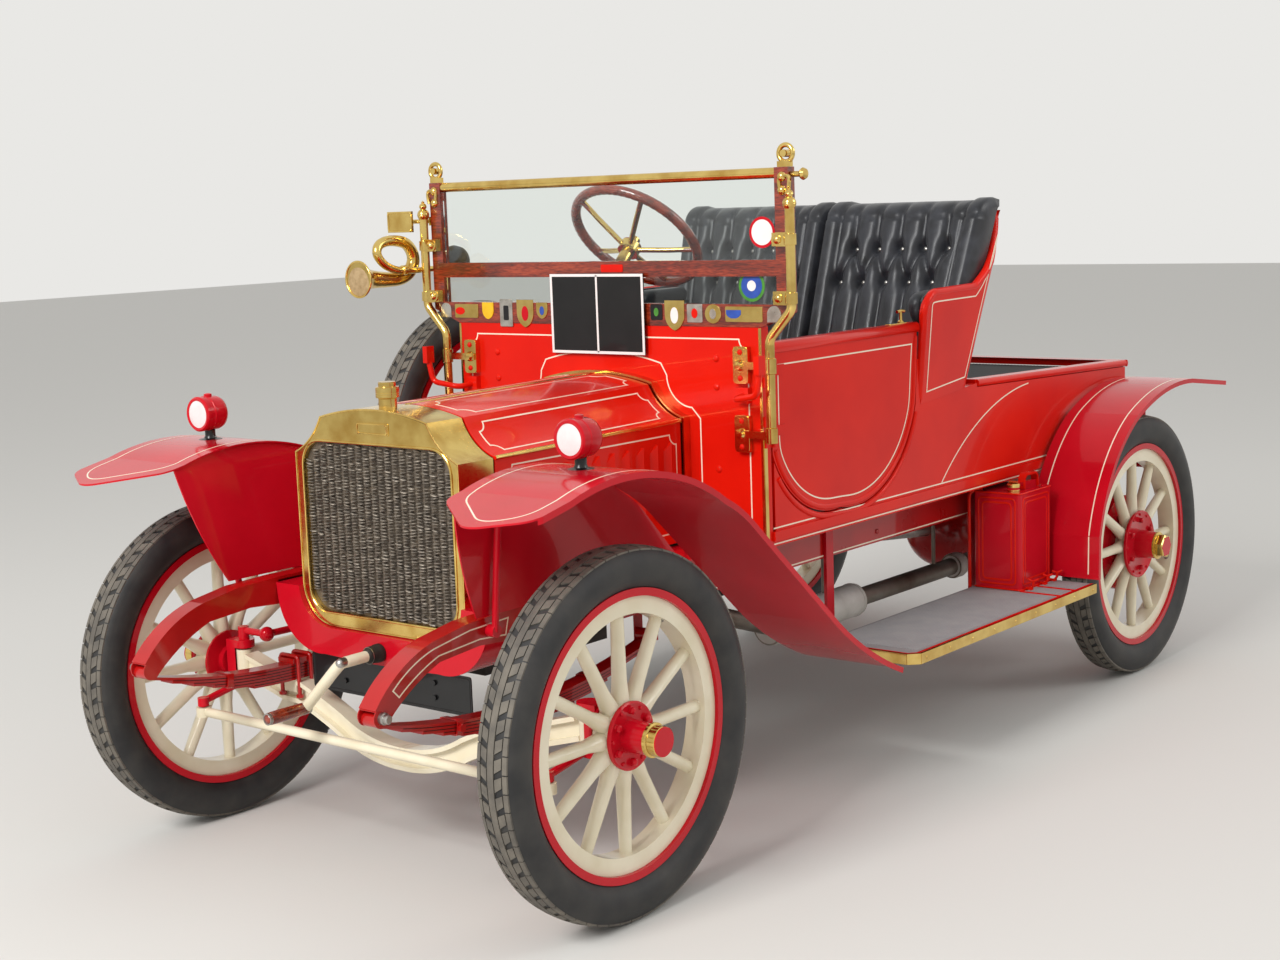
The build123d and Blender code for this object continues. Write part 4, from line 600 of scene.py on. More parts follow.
def tyreSection(form):
    # one side of the cross-section from the bead up to the tread's middle, as (radius, distance from the middle)
    r, side = form["tread"] - form["grooveDepth"], form["side"]
    widest = (r + form["rimEdge"]) / 2
    points = [(form["bead"], 0.0), (form["bead"], form["rimHalf"]), (form["rimEdge"], form["rimHalf"]),
              (form["rimEdge"] + 2, form["rimHalf"] + 3)]
    # the bulging side wall, from just over the rim to under the shoulder
    for k in range(1, 12):
        a = -1.05 + k * 0.165
        points.append((widest + math.sin(a) * (r - widest) * 0.86, side - (1 - math.cos(a)) * side * 0.42))
    crown = form["crownWidth"] / 2
    points += [(r - 6.5, crown + 3), (r - 2.5, crown - 4), (r - 1, 24.0), (r, 12.0), (r, 0.0)]
    return points


def crownDrop(form, x):
    # how far the tread has rounded off at a distance from its middle
    return form["roundOff"] * (abs(x) / (form["crownWidth"] / 2)) ** 2


def treadBlock(mesh, form, corners):
    # a block with the outline (distance from the middle, degrees round the wheel), from the groove up to the tread
    low, high = [], []
    for x, degrees in corners:
        a = math.radians(degrees)
        for ring, r in ((low, form["tread"] - form["grooveDepth"] - 3), (high, form["tread"] - 0.3)):
            radius = r - crownDrop(form, x)
            ring.append(mesh.verts.new((x, radius * math.sin(a), radius * math.cos(a))))
    skin(mesh, (low, high))
    mesh.faces.new(high)
    mesh.faces.new(list(reversed(low)))


def tyreShape(form):
    # the carcass, with dull sides, in its own place about the X axis
    mesh = bmesh.new()
    half = tyreSection(form)
    profile = [(r, x) for r, x in reversed(half)] + [(r, -x) for r, x in half[1:]]
    rings = [[mesh.verts.new((x, r * math.sin(a), r * math.cos(a))) for a in turns(form["steps"])] for r, x in profile]
    skin(mesh, rings + rings[:1])
    return mesh


def onePitch(form):
    # centre rib, two staggered bands of leaning blocks and the shoulders' short cuts, for one pitch of the tread
    mesh = bmesh.new()
    pitch = 360 / form["pitches"]
    cut = math.degrees(form["gap"] / form["tread"])
    rib, band, groove = form["ribWidth"] / 2, form["bandWidth"], form["groove"]
    for piece in range(3):
        a = pitch * piece / 3
        treadBlock(mesh, form, ((-rib, a), (rib, a), (rib, a + pitch / 3), (-rib, a + pitch / 3)))
    for side in (-1, 1):
        inner, outer = side * (rib + groove), side * (rib + groove + band)
        lean, start = pitch * form["lean"], (0 if side > 0 else pitch / 2)
        stop = start + pitch - cut
        treadBlock(mesh, form, (
            (inner, start), (outer, start + lean), (outer, stop - lean * 0.1), (inner, stop - lean * 0.8)))
        edge, shoulder = side * (form["crownWidth"] / 2 + 1), outer + side * groove
        for k in range(2):
            a = start + pitch * k / 2
            b = a + pitch / 2 - (cut * 0.7 if k else 0)
            treadBlock(mesh, form, ((shoulder, a), (edge, a), (edge, b), (shoulder, b)))
    bmesh.ops.recalc_face_normals(mesh, faces=mesh.faces)
    return mesh


halfTrack, wheelBase, axleHeight = 665.0, 2540.0, 407.5
roadWheels = {end + hand: (side * halfTrack, y, axleHeight) for end, y in (("front_", 0.0), ("rear_", wheelBase))
              for side, hand in ((1, "left"), (-1, "right"))}


def dressTyre(name, at, node, body):
    # carcass and tread are made about the frame's origin; their meshes move, the objects stay there
    carcass = finishPiece("tyreCarcass" + name, tyreShape(tyreForm), tyreRubber, "tyre_rubber", body, (node,))
    tread = grow("tread" + name, ringTree, onePitch(tyreForm), {
        "Count": tyreForm["pitches"], "Finish": dustyTread}, body, smooth=25.0)
    for piece in (carcass, tread):
        piece.data.transform(Matrix.Translation(Vector(at) / 1000))


for wheelName, at in roadWheels.items():
    dressTyre(wheelName, at, "tyre_" + wheelName, "wheel_" + wheelName)
low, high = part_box("spare_tyre")
dressTyre("spare", ((low + high) / 2 - place(0, 0, 0)) * 1000, "spare_tyre", "chassis")

print("hubs")
hubForm = {"capEnd": 118.0, "flange": (74.5, 105.5), "barrel": (37, 45), "boltInset": 12, "valveAngle": (0.55, 1.9)}


def roundHub(at, side, out, radius, angles):
    # (point, outward direction) pairs on a circle about the axle
    return [((at[0] + side * out, at[1] + radius * math.cos(a), at[2] + radius * math.sin(a)), (side, 0, 0))
            for a in angles]


for wheelName, at in roadWheels.items():
    side = 1 if at[0] > 0 else -1
    axis = (side, 0, 0)
    rear = 1 if wheelName.startswith("rear") else 0
    body = "wheel_" + wheelName
    capMesh = bmesh.new()
    end = hubForm["capEnd"]
    if rear:
        lathe(capMesh, ((0, 85), (41, 85), (43, 87), (43, 91), (36, 93), (36, 96), (0, 96.5)), at, axis, 32)
        lathe(capMesh, ((0, 96), (36.5, 96), (37.5, 98), (37.5, end - 3), (34, end - 0.2), (0, end)), at, axis, 6)
    else:
        lathe(capMesh, ((0, 84), (36, 84), (38, 86), (38, 92), (33.5, 94), (33.2, end - 5), (31, end - 1.5), (0, end)),
              at, axis, 32)
    finishPiece("hubCap" + wheelName, capMesh, brass, "brass", body, smooth=30.0)
    flange = hubForm["flange"][rear]
    ringShape = ((flange - 9, 28.0), (flange + 0.5, 28.0), (flange + 0.5, 29.5), (flange - 3, 31.5), (flange - 9, 29.0))
    onePiece("hubRing" + wheelName, lathe, (ringShape, at, axis, 48), wingEnamel, "crimson_paint", body=body)
    studs = roundHub(at, side, 30.0, flange - hubForm["boltInset"], turns(12))
    heads("hubStuds" + wheelName, studs, 4.5, 0.8, wingEnamel, body)
    nuts = roundHub(at, side, 37.0, (flange + hubForm["barrel"][rear]) / 2, turns(6, 0.5))
    heads("hubNuts" + wheelName, nuts, 8.5, 0.5, wingEnamel, body)
    tilt = hubForm["valveAngle"][rear]
    out = Vector((0, math.sin(tilt), math.cos(tilt)))
    root = Vector(at) + Vector((side * 8.0, 0, 0)) + out * 262.5
    valveShape = ((0, 0), (8.5, 0), (8.5, 2), (4, 3), (4, 22), (5, 23), (5, 30), (0, 31))
    onePiece("tyreValve" + wheelName, lathe, (valveShape, root, -out, 12), steel, "steel", body=body)

print("radiator")
coreForm = {"half": 243.5, "low": 593.5, "high": 998.5, "corner": 64.0, "front": -41.3, "tubePitch": 24.2,
            "gillPitch": 7.4}
gillTree, gillIn = startTree("gilled tubes", (
    ("Lean", "NodeSocketFloat"), ("Seed", "NodeSocketInt"), ("Finish", "NodeSocketMaterial")))
gillDisc = addNode(gillTree, "GeometryNodeMeshCone", {
    "Vertices": 10, "Radius Top": 4.4, "Radius Bottom": 6.4, "Depth": 2.0})
gillShape = addNode(gillTree, "GeometryNodeTransform", {"Scale": (1.8, 1.0, 1.0)}, {"Geometry": (gillDisc, "Mesh")})
gillBack = addNode(gillTree, "ShaderNodeMath", {"operation": "MULTIPLY", 1: -1.0}, {0: (gillIn, "Lean")})
gillLow = addNode(gillTree, "ShaderNodeCombineXYZ", links={axis: (gillBack, "Value") for axis in "XYZ"})
gillHigh = addNode(gillTree, "ShaderNodeCombineXYZ", links={axis: (gillIn, "Lean") for axis in "XYZ"})
gillLean = addNode(gillTree, "FunctionNodeRandomValue", {"data_type": "FLOAT_VECTOR"}, {
    "Seed": (gillIn, "Seed"), "Min": (gillLow, "Vector"), "Max": (gillHigh, "Vector")})
gillEach = addNode(gillTree, "GeometryNodeInstanceOnPoints", links={
    "Points": (gillIn, "Geometry"), "Instance": (gillShape, "Geometry"), "Rotation": (gillLean, "Value")})
endTree(gillTree, gillIn, gillEach)
gillSpots = []
gillHalf, gillRise = 10, 3    # half of a gill's width and height
columns = int(2 * coreForm["half"] / coreForm["tubePitch"])
rows = int((coreForm["high"] - coreForm["low"]) / coreForm["gillPitch"])
for column in range(columns):
    x = (column - (columns - 1) / 2) * coreForm["tubePitch"]
    for row in range(rows):
        z = coreForm["low"] + gillRise + (row + 0.5 * (column % 2)) * coreForm["gillPitch"]
        # none in the core's rounded corners
        overX = abs(x) + gillHalf - (coreForm["half"] - coreForm["corner"])
        overZ = max(coreForm["low"] + coreForm["corner"] - (z - gillRise),
                    z + gillRise - (coreForm["high"] - coreForm["corner"]))
        if overX > 0 and overZ > 0 and math.hypot(overX, overZ) > coreForm["corner"]:
            continue
        if z < coreForm["high"] - gillRise:
            gillSpots.append(((x, coreForm["front"] - 4.0, z), toFront))
# the lighter flecks on the gills are painted highlights; the darker colour is the blackened brass
gilling = dullSurface("blackened brass gilling", {
    "clean": "#625B54", "dusty": "#B0A595", "grimeMm": 11.0, "grainMm": 2.0, "gloss": 0.4, "bump": 0.4, "metal": 0.6})
grow("radiatorGills", gillTree, pointsWithAim(gillSpots), {"Lean": 0.22, "Seed": 7, "Finish": gilling},
     smooth=0)

onePiece("headerPlaque", raisedPlate, (softOblong(54, 15, 6), (0, -53.0, 1038), *forward, 2.0), brass, "brass",
         smooth=30)
trimMesh = bmesh.new()
flatStrip(trimMesh, stoodUp(softOblong(49, 11, 5), -55.2, (0, 1038)), toFront, roundSection(2.0, 8), closed=True)
# a rolled bead round the core's opening
opening = roundCorners(((-247, 590), (247, 590), (247, 1002), (-247, 1002)), 68, closed=True)
flatStrip(trimMesh, stoodUp(opening, -53.2), toFront, roundSection(3.2, 10), closed=True)
# and a fine bead round the shell's own front edge
shellHalf = curveLine((171, 558.4), ((239.7, 587.3), (268.6, 656)), gap=10.0)
shellHalf += curveLine((268.6, 656), (268.6, 971))[1:]
shellHalf += curveLine((268.6, 971), ((216.2, 1004.7), (176.2, 1057.8)), ((90, 1075.4), (0, 1081.6)), gap=8.0)[1:]
shellEdge = shellHalf + mirrored(shellHalf[:-1])
flatStrip(trimMesh, stoodUp(shellEdge, -53.2), toFront, roundSection(2.3, 8), closed=True)
# knurled filler cap over its plain steps
capShape = ((21.4, 1071), (21.4, 1103), (24, 1106), (27.4, 1108), (27.4, 1111), (26.6, 1112), (27.4, 1113),
            (27.4, 1116), (26.6, 1117), (27.4, 1118), (27.4, 1127), (24, 1130.3), (20.4, 1131), (20.4, 1139),
            (18.5, 1141.8), (0, 1142))
lathe(trimMesh, capShape, (0, 0, 0), upward, 40)
finishPiece("radiatorTrim", trimMesh, brass, "brass", smooth=30)

print("coachlines")
liningEnamel = coachEnamel("cream lining paint", {
    "deep": "#EFE0C4", "bright": "#F6EBD6", "mottleMm": 60.0, "gloss": 0.3, "rippleMm": 9.0, "ripple": 0.03,
    "coat": 0.5})
lining = {"width": 3.6, "proud": 0.45, "wingInset": 34.0}
wingForm = {"frontInner": 456, "rearInner": 525, "outer": 755}
frontWingLine = curveLine((-411, 914), (-236, 952), ((-10, 981), (283, 883)), ((342, 849), (392, 809)), (721, 518),
                          ((860, 420), (1009, 346)), gap=15.0)
rearWingLine = curveLine((2118.5, 372), (2122.5, 500), ((2215.1, 689.9), (2390.3, 835)),
                         ((2589.7, 897), (2800, 908)), (3072, 875), gap=15.0)


class SheetLine:
    # a wing's top line from the side, measured along its length
    def __init__(self, points):
        self.points = points
        self.marks = [0.0]
        for a, b in zip(points, points[1:]):
            self.marks.append(self.marks[-1] + (b - a).length)
        self.length = self.marks[-1]

    def at(self, x, s):
        s = min(max(s, 0.0), self.length)
        k = min(max(i for i, m in enumerate(self.marks) if m <= s + 1e-9), len(self.points) - 2)
        a, b = self.points[k], self.points[k + 1]
        p = a.lerp(b, (s - self.marks[k]) / (b - a).length)
        run = (self.points[min(k + 2, len(self.points) - 1)] - self.points[max(k - 1, 0)]).normalized()
        return Vector((x, p.x, p.y)), Vector((0, -run.y, run.x))


def lineOnSheet(mesh, sheet, corners, radius):
    # a painted line round (x, distance along the wing) corners
    plan = spread(roundCorners(corners, radius), 14.0)
    sweepStrip(mesh, [sheet.at(*p) for p in plan], flatSection(lining["width"], lining["proud"]))


wingPaint = bmesh.new()
frontSheet, rearSheet = SheetLine(frontWingLine), SheetLine(rearWingLine)
inset = lining["wingInset"]
frontX, rearX, outerX = (wingForm[k] for k in ("frontInner", "rearInner", "outer"))
frontX, rearX, outerX = frontX + inset, rearX + inset, outerX - inset
frontEnd, rearEnd = frontSheet.length - 12, rearSheet.length - inset
lineOnSheet(wingPaint, frontSheet, (
    (frontX, frontEnd), (frontX, 150), (640, 32), (outerX, 88), (outerX, frontEnd)), 46)
lineOnSheet(wingPaint, rearSheet, ((rearX, 14), (rearX, rearEnd), (outerX, rearEnd), (outerX, 14)), 40)
addMirror(wingPaint)
finishPiece("wingLines", wingPaint, liningEnamel, "cream_paint")

bonnetForm = {"front": 63, "length": 674, "half": 271, "flare": 6, "rise": 10, "hinge": 972, "ridge": (178, 1060)}


def bonnetCurve(t):
    # the bonnet's top from its middle to the side hinge, t = 0 at the radiator and 1 at the dash
    w, rise = bonnetForm["half"] + bonnetForm["flare"] * t, bonnetForm["rise"] * t
    hinge, (ridgeX, ridgeZ) = bonnetForm["hinge"], bonnetForm["ridge"]
    # the flute between ridge and hinge is hollow by 14 mm
    chord = Vector((ridgeX - w, ridgeZ - hinge)).normalized()
    dip = Vector(((w + ridgeX) / 2 - 14 * chord.y, (hinge + rise + 3 + ridgeZ + rise) / 2 + 14 * chord.x))
    crown = curveLine((5.6, 1084 + rise), ((89, 1078 + rise), (ridgeX, ridgeZ + rise)), gap=12.0)
    flute = curveLine((ridgeX, ridgeZ + rise), (dip, (w, hinge + 3 + rise)), gap=8.0)
    return SheetLine(crown), SheetLine(flute)


def bonnetSpot(panel, share, y):
    # a point on the bonnet: share of the way across the crown (panel 0) or the flute (panel 1)
    t = (y - bonnetForm["front"]) / bonnetForm["length"]
    sheet = bonnetCurve(t)[panel]
    point, normal = sheet.at(0, share * sheet.length)
    out = Vector((normal.y, 0, normal.z))
    return Vector((point.y, y, point.z)), (out if out.z > 0 else -out)


def bonnetFrame(mesh, panel, low, high, notch):
    # a notched frame on the bonnet from (share across, y) corners; the notch is in mm
    width = bonnetCurve(0.5)[panel].length
    frame = spread(notchedFrame((low[0] * width, low[1]), (high[0] * width, high[1]), notch), 15.0, True)
    spots = [bonnetSpot(panel, p.x / width, p.y) for p in frame]
    sweepStrip(mesh, spots, flatSection(lining["width"], lining["proud"] + 0.3), True)


sides = ((1, "Left"), (-1, "Right"))
for side, sideName in sides:
    topPaint = bmesh.new()
    bonnetFrame(topPaint, 0, (0.16, 92), (0.9, 705), 30.0)
    bonnetFrame(topPaint, 1, (0.14, 92), (0.84, 705), 24.0)
    if side < 0:
        flip(topPaint.verts)
    finishPiece("bonnetTopLines" + sideName, topPaint, liningEnamel, "cream_paint", "bonnet_" + sideName.lower())


def lineOnSide(mesh, points, surface, closed=False, width=lining["width"]):
    # a painted line through (y, z) points; the surface gives each its place and outward direction
    sweepStrip(mesh, [surface(*p) for p in points], flatSection(width, lining["proud"]), closed)


def bonnetSideFace(y, z):
    x = bonnetForm["half"] + bonnetForm["flare"] * (y - bonnetForm["front"]) / bonnetForm["length"]
    return Vector((x, y, z)), Vector(toLeft)


def uprightFace(x):
    return lambda y, z: (Vector((x, y, z)), Vector(toLeft))


bodyFace, railFace = uprightFace(511), uprightFace(405)
tubForm = {"foot": 940, "height": 560, "half": 511, "flare": 51, "back": 1790, "rake": 185, "wall": 22.3}


def tubHalf(z):
    # half of the seat shell's width at a height
    return tubForm["half"] + (z - tubForm["foot"]) * tubForm["flare"] / tubForm["height"]


def tubBack(z):
    # where the leaning back of the seat shell stands at a height
    return tubForm["back"] + (z - tubForm["foot"]) * tubForm["rake"] / tubForm["height"]


def tubFace(y, z):
    return Vector((tubHalf(z), y, z)), Vector((1, 0, -tubForm["flare"] / tubForm["height"])).normalized()


for side, sideName in sides:
    sidePaint = bmesh.new()
    lineOnSide(sidePaint, spread(notchedFrame((92, 700), (718, 950), 26.0), 40.0, True), bonnetSideFace, True)
    if side < 0:
        flip(sidePaint.verts)
    finishPiece("bonnetSideLines" + sideName, sidePaint, liningEnamel, "cream_paint",
                "bonnet_side_" + sideName.lower())

dashFace, railFront = 769, 767    # the dash's front and that of the lower screen rail
dashPaint = bmesh.new()
# frame with stepped-in top corners; it runs down each side behind the moulding
corner = [math.radians(a) for a in range(-90, 1, 15)]
frameHalf = [(-470, 672)] + [(-470 + 26 * math.cos(a), 1187 + 26 * math.sin(a)) for a in corner]
# the arch over the bonnet, with a step at each shoulder, down to the frame
archHalf = [(318, 672), (318, 985), (292, 1012)] + curveLine((292, 1012), ((244, 1030), (214, 1092)), gap=8.0)[1:]
archHalf += curveLine((214, 1092), (196, 1122))[1:] + curveLine((196, 1122), ((100, 1142), (0, 1149)), gap=10.0)[1:]
for line in (frameHalf + mirrored(frameHalf), archHalf + mirrored(archHalf[:-1])):
    flatStrip(dashPaint, stoodUp(line, dashFace), toFront, flatSection(lining["width"], lining["proud"]))
finishPiece("dashLines", dashPaint, liningEnamel, "cream_paint")

bodyPaint = bmesh.new()
# two lines along the sill's edges, the long sweep on the lower body and one on the frame rail
for z in (714, 674):
    lineOnSide(bodyPaint, [(802, z), (2820, z)], bodyFace)
lineOnSide(bodyPaint, curveLine((2150, 948), ((1832, 860), (1628, 716)), gap=14.0), bodyFace)
lineOnSide(bodyPaint, [(100, 572), (2980, 572)], railFace)
# and a closed panel on the seat's side
seatEdge = [(1546, 982), (1546, 1206)] + roundCorners(((1546, 1206), (1546, 1228), (1580, 1230)), 24)[1:]
seatEdge += curveLine((1580, 1230), (1786, 1232), ((1852, 1300), (1888, 1400)), gap=12.0)[1:]
seatEdge += [(tubBack(z) - 56, z) for z in (1330, 1250, 1150, 1060, 1004)]
lineOnSide(bodyPaint, spread(seatEdge, 20.0, True), tubFace, True)
addMirror(bodyPaint)
finishPiece("bodyLines", bodyPaint, liningEnamel, "cream_paint")


def drawnIn(points, distance):
    # the same line, moved sideways by a distance
    shifted = []
    for k in range(len(points)):
        run = (points[min(k + 1, len(points) - 1)] - points[max(k - 1, 0)]).normalized()
        shifted.append(points[k] + Vector((-run.y, run.x)) * distance)
    return shifted


def doorLine(inset):
    # the door's outline drawn in by an inset, as (y, z); its lower arcs are blended into one sweep
    line = spread([(806, 1035), (806, 905)], 10.0)[:-1]
    line += curveLine((806, 905), ((898, 782), (1106, 724)), ((1375, 788), (1488, 955)), gap=10.0)
    line = drawnIn(line + spread([(1488, 955), (1495, 1035)], 10.0)[1:], inset)
    for _ in range(16):
        line = [line[0]] + [(a + b * 2 + c) / 4 for a, b, c in zip(line, line[1:], line[2:])] + [line[-1]]
    return [(806 + inset, 1150 - inset)] + line + [(1505 - inset, 1150 - inset)]


doorPaint = bmesh.new()
lineOnSide(doorPaint, spread(doorLine(30), 30.0, True), bodyFace, True)
finishPiece("doorLines", doorPaint, liningEnamel, "cream_paint", "door")

rightPaint = bmesh.new()
lineOnSide(rightPaint, spread([(840, 730), (840, 1150), (1490, 1150), (1490, 730)], 60.0, True), bodyFace, True)
flip(rightPaint.verts)
finishPiece("rightSideLines", rightPaint, liningEnamel, "cream_paint")

ironPaint = bmesh.new()
ironUpper = curveLine((-462, 528), ((-393, 592), (-291, 637)), (-181, 655), (-60, 660), gap=10.0)
ironLower = curveLine((-432, 492), ((-353, 552), (-272, 590)), (-150, 600), (-70, 594), gap=10.0)
ironFrame = [p for p in drawnIn(ironUpper, -16) if p.x > -412]
ironFrame += [p for p in reversed(drawnIn(ironLower, 14)) if p.x > -402]
lineOnSide(ironPaint, ironFrame, railFace, True, 3.0)
addMirror(ironPaint)
finishPiece("ironLines", ironPaint, liningEnamel, "cream_paint")

print("seat")
# buttoned hide over horsehair: the creases run from button to button, straight up to the roll and down to the seat
seatForm = {"foot": 1012.0, "top": 1500.0, "thick": 95.0, "roll": 46.0, "sideRoll": 58.0, "row1": 1372.0,
            "row2": 1276.0, "pitch": 78.0, "crease": 17.0, "creaseWidth": 11.0, "buttonSink": 26.0,
            "buttonWidth": 17.0, "step": 6.5}


def gapToLine(p, a, b):
    run = b - a
    t = min(1.0, max(0.0, (p - a).dot(run) / run.dot(run)))
    return (p - a - run * t).length


def squabCreases(form, low, high):
    # crease lines in the squab's own plane: u from its inner edge, v up its face
    v1, v2, pitch = form["row1"] - form["foot"], form["row2"] - form["foot"], form["pitch"]
    count = round((high - low) / pitch)
    upper = [Vector((low + pitch * (k + 0.5), v1)) for k in range(count)]
    lower = [Vector((low + pitch * k, v2)) for k in range(count)]
    lines = [(p, Vector((p.x, form["top"] - form["foot"] - 24))) for p in upper]
    lines += [(p, Vector((p.x, 0))) for p in lower]
    for p in upper:
        lines += [(p, q) for q in lower if abs(q.x - p.x) < pitch * 0.6]
    return upper + lower, lines


def squabPoint(form, u, v, depth, side):
    # the leaning plane of the squab's face, pushed out by depth
    z = form["foot"] + v
    foot = tubBack(form["foot"]) - tubForm["wall"] - form["thick"]
    top = tubBack(form["top"] - 44) - tubForm["wall"] - form["thick"]
    lean = (top - foot) / (form["top"] - 44 - form["foot"])
    return Vector((side * u, foot + lean * v - depth, z + depth * 0.3))


def buttonedSquab(form, side):
    mesh = bmesh.new()
    inner = 3.5
    height = form["top"] - form["foot"]
    buttons, lines = squabCreases(form, 74.0, 464.0)
    step = form["step"]
    rows, columns = round(height / step), round(520 / step)
    grid = []
    for j in range(rows + 1):
        v = height * j / rows
        z = form["foot"] + v
        outer = tubHalf(z) - tubForm["wall"] - 1.0
        row = []
        for i in range(columns + 1):
            u = inner + (outer - inner) * i / columns
            p = Vector((u, v))
            # the plain side roll: a fat round edge on each side of the buttoned middle
            edge = min(u - inner, outer - u)
            puff = 12.0
            if edge < form["sideRoll"]:
                t = edge / form["sideRoll"]
                puff += 15.0 * math.sqrt(max(0.0, 1 - (2 * t - 1) ** 2)) - 2
                puff -= 26.0 * max(0.0, 1 - t * 5) ** 2
            nearest = min(gapToLine(p, a, b) for a, b in lines)
            nearButton = min((p - b).length for b in buttons)
            middle = min(1.0, max(0.0, (edge - form["sideRoll"] + 12) / 14))
            puff -= form["crease"] * math.exp(-(nearest / form["creaseWidth"]) ** 1.5) * middle
            puff -= form["buttonSink"] * math.exp(-(nearButton / form["buttonWidth"]) ** 1.6) * middle
            seamGap = abs(edge - form["sideRoll"])
            puff -= 8.0 * math.exp(-(seamGap / 5.0) ** 2)
            # the top goes over in a roll and the foot tucks in
            over = max(0.0, (v - (height - form["roll"])) / form["roll"])
            under = max(0.0, 1 - v / 40.0)
            point = squabPoint(form, u, v, 0, side)
            puff -= 8 * under ** 2
            if over > 0:
                a = over * math.pi / 2
                centre = squabPoint(form, u, height - form["roll"], 0, side)
                radius = form["roll"] - 8 + puff * 0.75
                backY = centre.y + form["roll"] - 8 - radius * math.cos(a) + 30 * over ** 2
                point = Vector((point.x, backY, centre.z + radius * math.sin(a)))
            else:
                point = squabPoint(form, u, v, puff, side)
            point.z = min(point.z, form["top"] + 8)
            row.append(point)
        grid.append(row)
    front = [[mesh.verts.new(p) for p in row] for row in grid]
    back = []
    for j in range(rows + 1):
        z = form["foot"] + height * j / rows
        line = []
        for i in range(columns + 1):
            p = grid[j][i]
            # the shell's back, with the round of its corners
            limit = tubBack(z) - tubForm["wall"] - 1.0
            corner = max(0.0, abs(p.x) - (tubHalf(z) - tubForm["wall"] - 34))
            limit -= 34 - math.sqrt(max(0.0, 34 ** 2 - corner ** 2))
            line.append(mesh.verts.new(Vector((p.x, max(limit, p.y + 4), min(z, p.z)))))
        back.append(line)
    for j in range(rows):
        for i in range(columns):
            mesh.faces.new((front[j][i], front[j][i + 1], front[j + 1][i + 1], front[j + 1][i]))
            mesh.faces.new((back[j][i], back[j + 1][i], back[j + 1][i + 1], back[j][i + 1]))
    for a, b in ((front[0], back[0]), (front[-1], back[-1]), ([r[0] for r in front], [r[0] for r in back]),
                 ([r[-1] for r in front], [r[-1] for r in back])):
        for k in range(len(a) - 1):
            mesh.faces.new((a[k], a[k + 1], b[k + 1], b[k]))
    sunk = 12.0 - form["crease"] - form["buttonSink"] + 9
    return mesh, [(squabPoint(form, b.x, b.y, sunk, side), (0, -1, 0.3)) for b in buttons]


def armRoll(side):
    # the pad along the arm: it starts full at the front and runs back into the squab's side roll
    mesh = bmesh.new()
    stations = 26
    rings = []
    for k in range(stations + 1):
        t = k / stations
        y = 1522 + 310 * t
        sweep = max(0.0, (y - 1780) / 130)
        top = 1256 + 10 * math.sin(min(1.0, t * 5) * math.pi / 2) - 6 + 128 * sweep ** 1.5
        fat = 25 + 3 * math.cos(t * 9) * 0.4
        z = top - fat
        x = tubHalf(z) - 24 - fat * 0.9
        full = min(1.0, 0.55 + t * 9)
        ring = []
        for a in turns(20):
            drop = 1.0 if math.sin(a) > 0 else 2.4
            out = x + fat * 0.95 * full * math.cos(a)
            ring.append(mesh.verts.new((side * out, y, z + fat * full * drop * math.sin(a))))
        rings.append(ring)
    skin(mesh, rings)
    for ring, y in ((rings[0], 1518.5), (rings[-1], 1837)):
        middle = sum((v.co for v in ring), Vector()) / len(ring)
        centre = mesh.verts.new((middle.x, y, middle.z))
        for i in range(20):
            mesh.faces.new((ring[i], ring[(i + 1) % 20], centre))
    return mesh


seatButtons = []
for side, sideName in sides:
    mesh, spots = buttonedSquab(seatForm, side)
    seatButtons += spots
    squab = finishPiece("squab" + sideName, mesh, hide, "leather", replaced=("seat_squab",), smooth=180)
    pad = finishPiece("armPad" + sideName, armRoll(side), hide, "leather", smooth=180)
heads("seatButtons", seatButtons, 6.5, 0.55, steel)

cushionForm = {"front": 1498.0, "back": 1677.0, "half": 436.0, "low": 880.4, "high": 1010.0, "crown": 16.0}


def seatCushion(form):
    # a sprung box cushion: upright border and a crowned buttonless top with shallow flutes
    mesh = bmesh.new()
    across, along = 96, 26
    top = []
    for j in range(along + 1):
        row = []
        for i in range(across + 1):
            sx, sy = 2 * i / across - 1, 2 * j / along - 1
            swell = (1 - abs(sx) ** 8) * (1 - abs(sy) ** 4)
            flute = abs(math.sin(math.pi * (i / across) * 10)) ** 0.5
            z = form["high"] - form["crown"] - 14 + (form["crown"] + 6) * swell + 8 * flute * swell
            squeeze = 0.985 + 0.015 * swell
            x = sx * form["half"] * squeeze
            y = (form["front"] + form["back"]) / 2 + sy * (form["back"] - form["front"]) / 2
            row.append(mesh.verts.new((x, y, z)))
        top.append(row)
    rim = top[0][:] + [r[-1] for r in top[1:]] + list(reversed(top[-1][:-1])) + [r[0] for r in reversed(top[1:-1])]
    middle = Vector((0, (form["front"] + form["back"]) / 2, 0))
    previous = rim
    for drop, draw in ((26, 6), (60, 9), (95, 6), (form["high"] - 30 - form["low"], 0)):
        ring = []
        for v in rim:
            out = Vector((v.co.x, v.co.y, 0)) - middle
            pull = Vector((math.copysign(draw, out.x) if abs(out.x) > form["half"] - 20 else 0,
                           math.copysign(draw, out.y) if abs(out.y) > 80 else 0, 0))
            ring.append(mesh.verts.new((v.co.x - pull.x, v.co.y - pull.y, max(form["low"], v.co.z - drop))))
        skin(mesh, (previous, ring))
        previous = ring
    for v in previous:
        v.co.z = form["low"]
    mesh.faces.new(previous)
    for j in range(along):
        for i in range(across):
            mesh.faces.new((top[j][i], top[j][i + 1], top[j + 1][i + 1], top[j + 1][i]))
    return mesh


cushion = finishPiece("seatCushion", seatCushion(cushionForm), hide, "leather", replaced=("seat_cushion",), smooth=50)

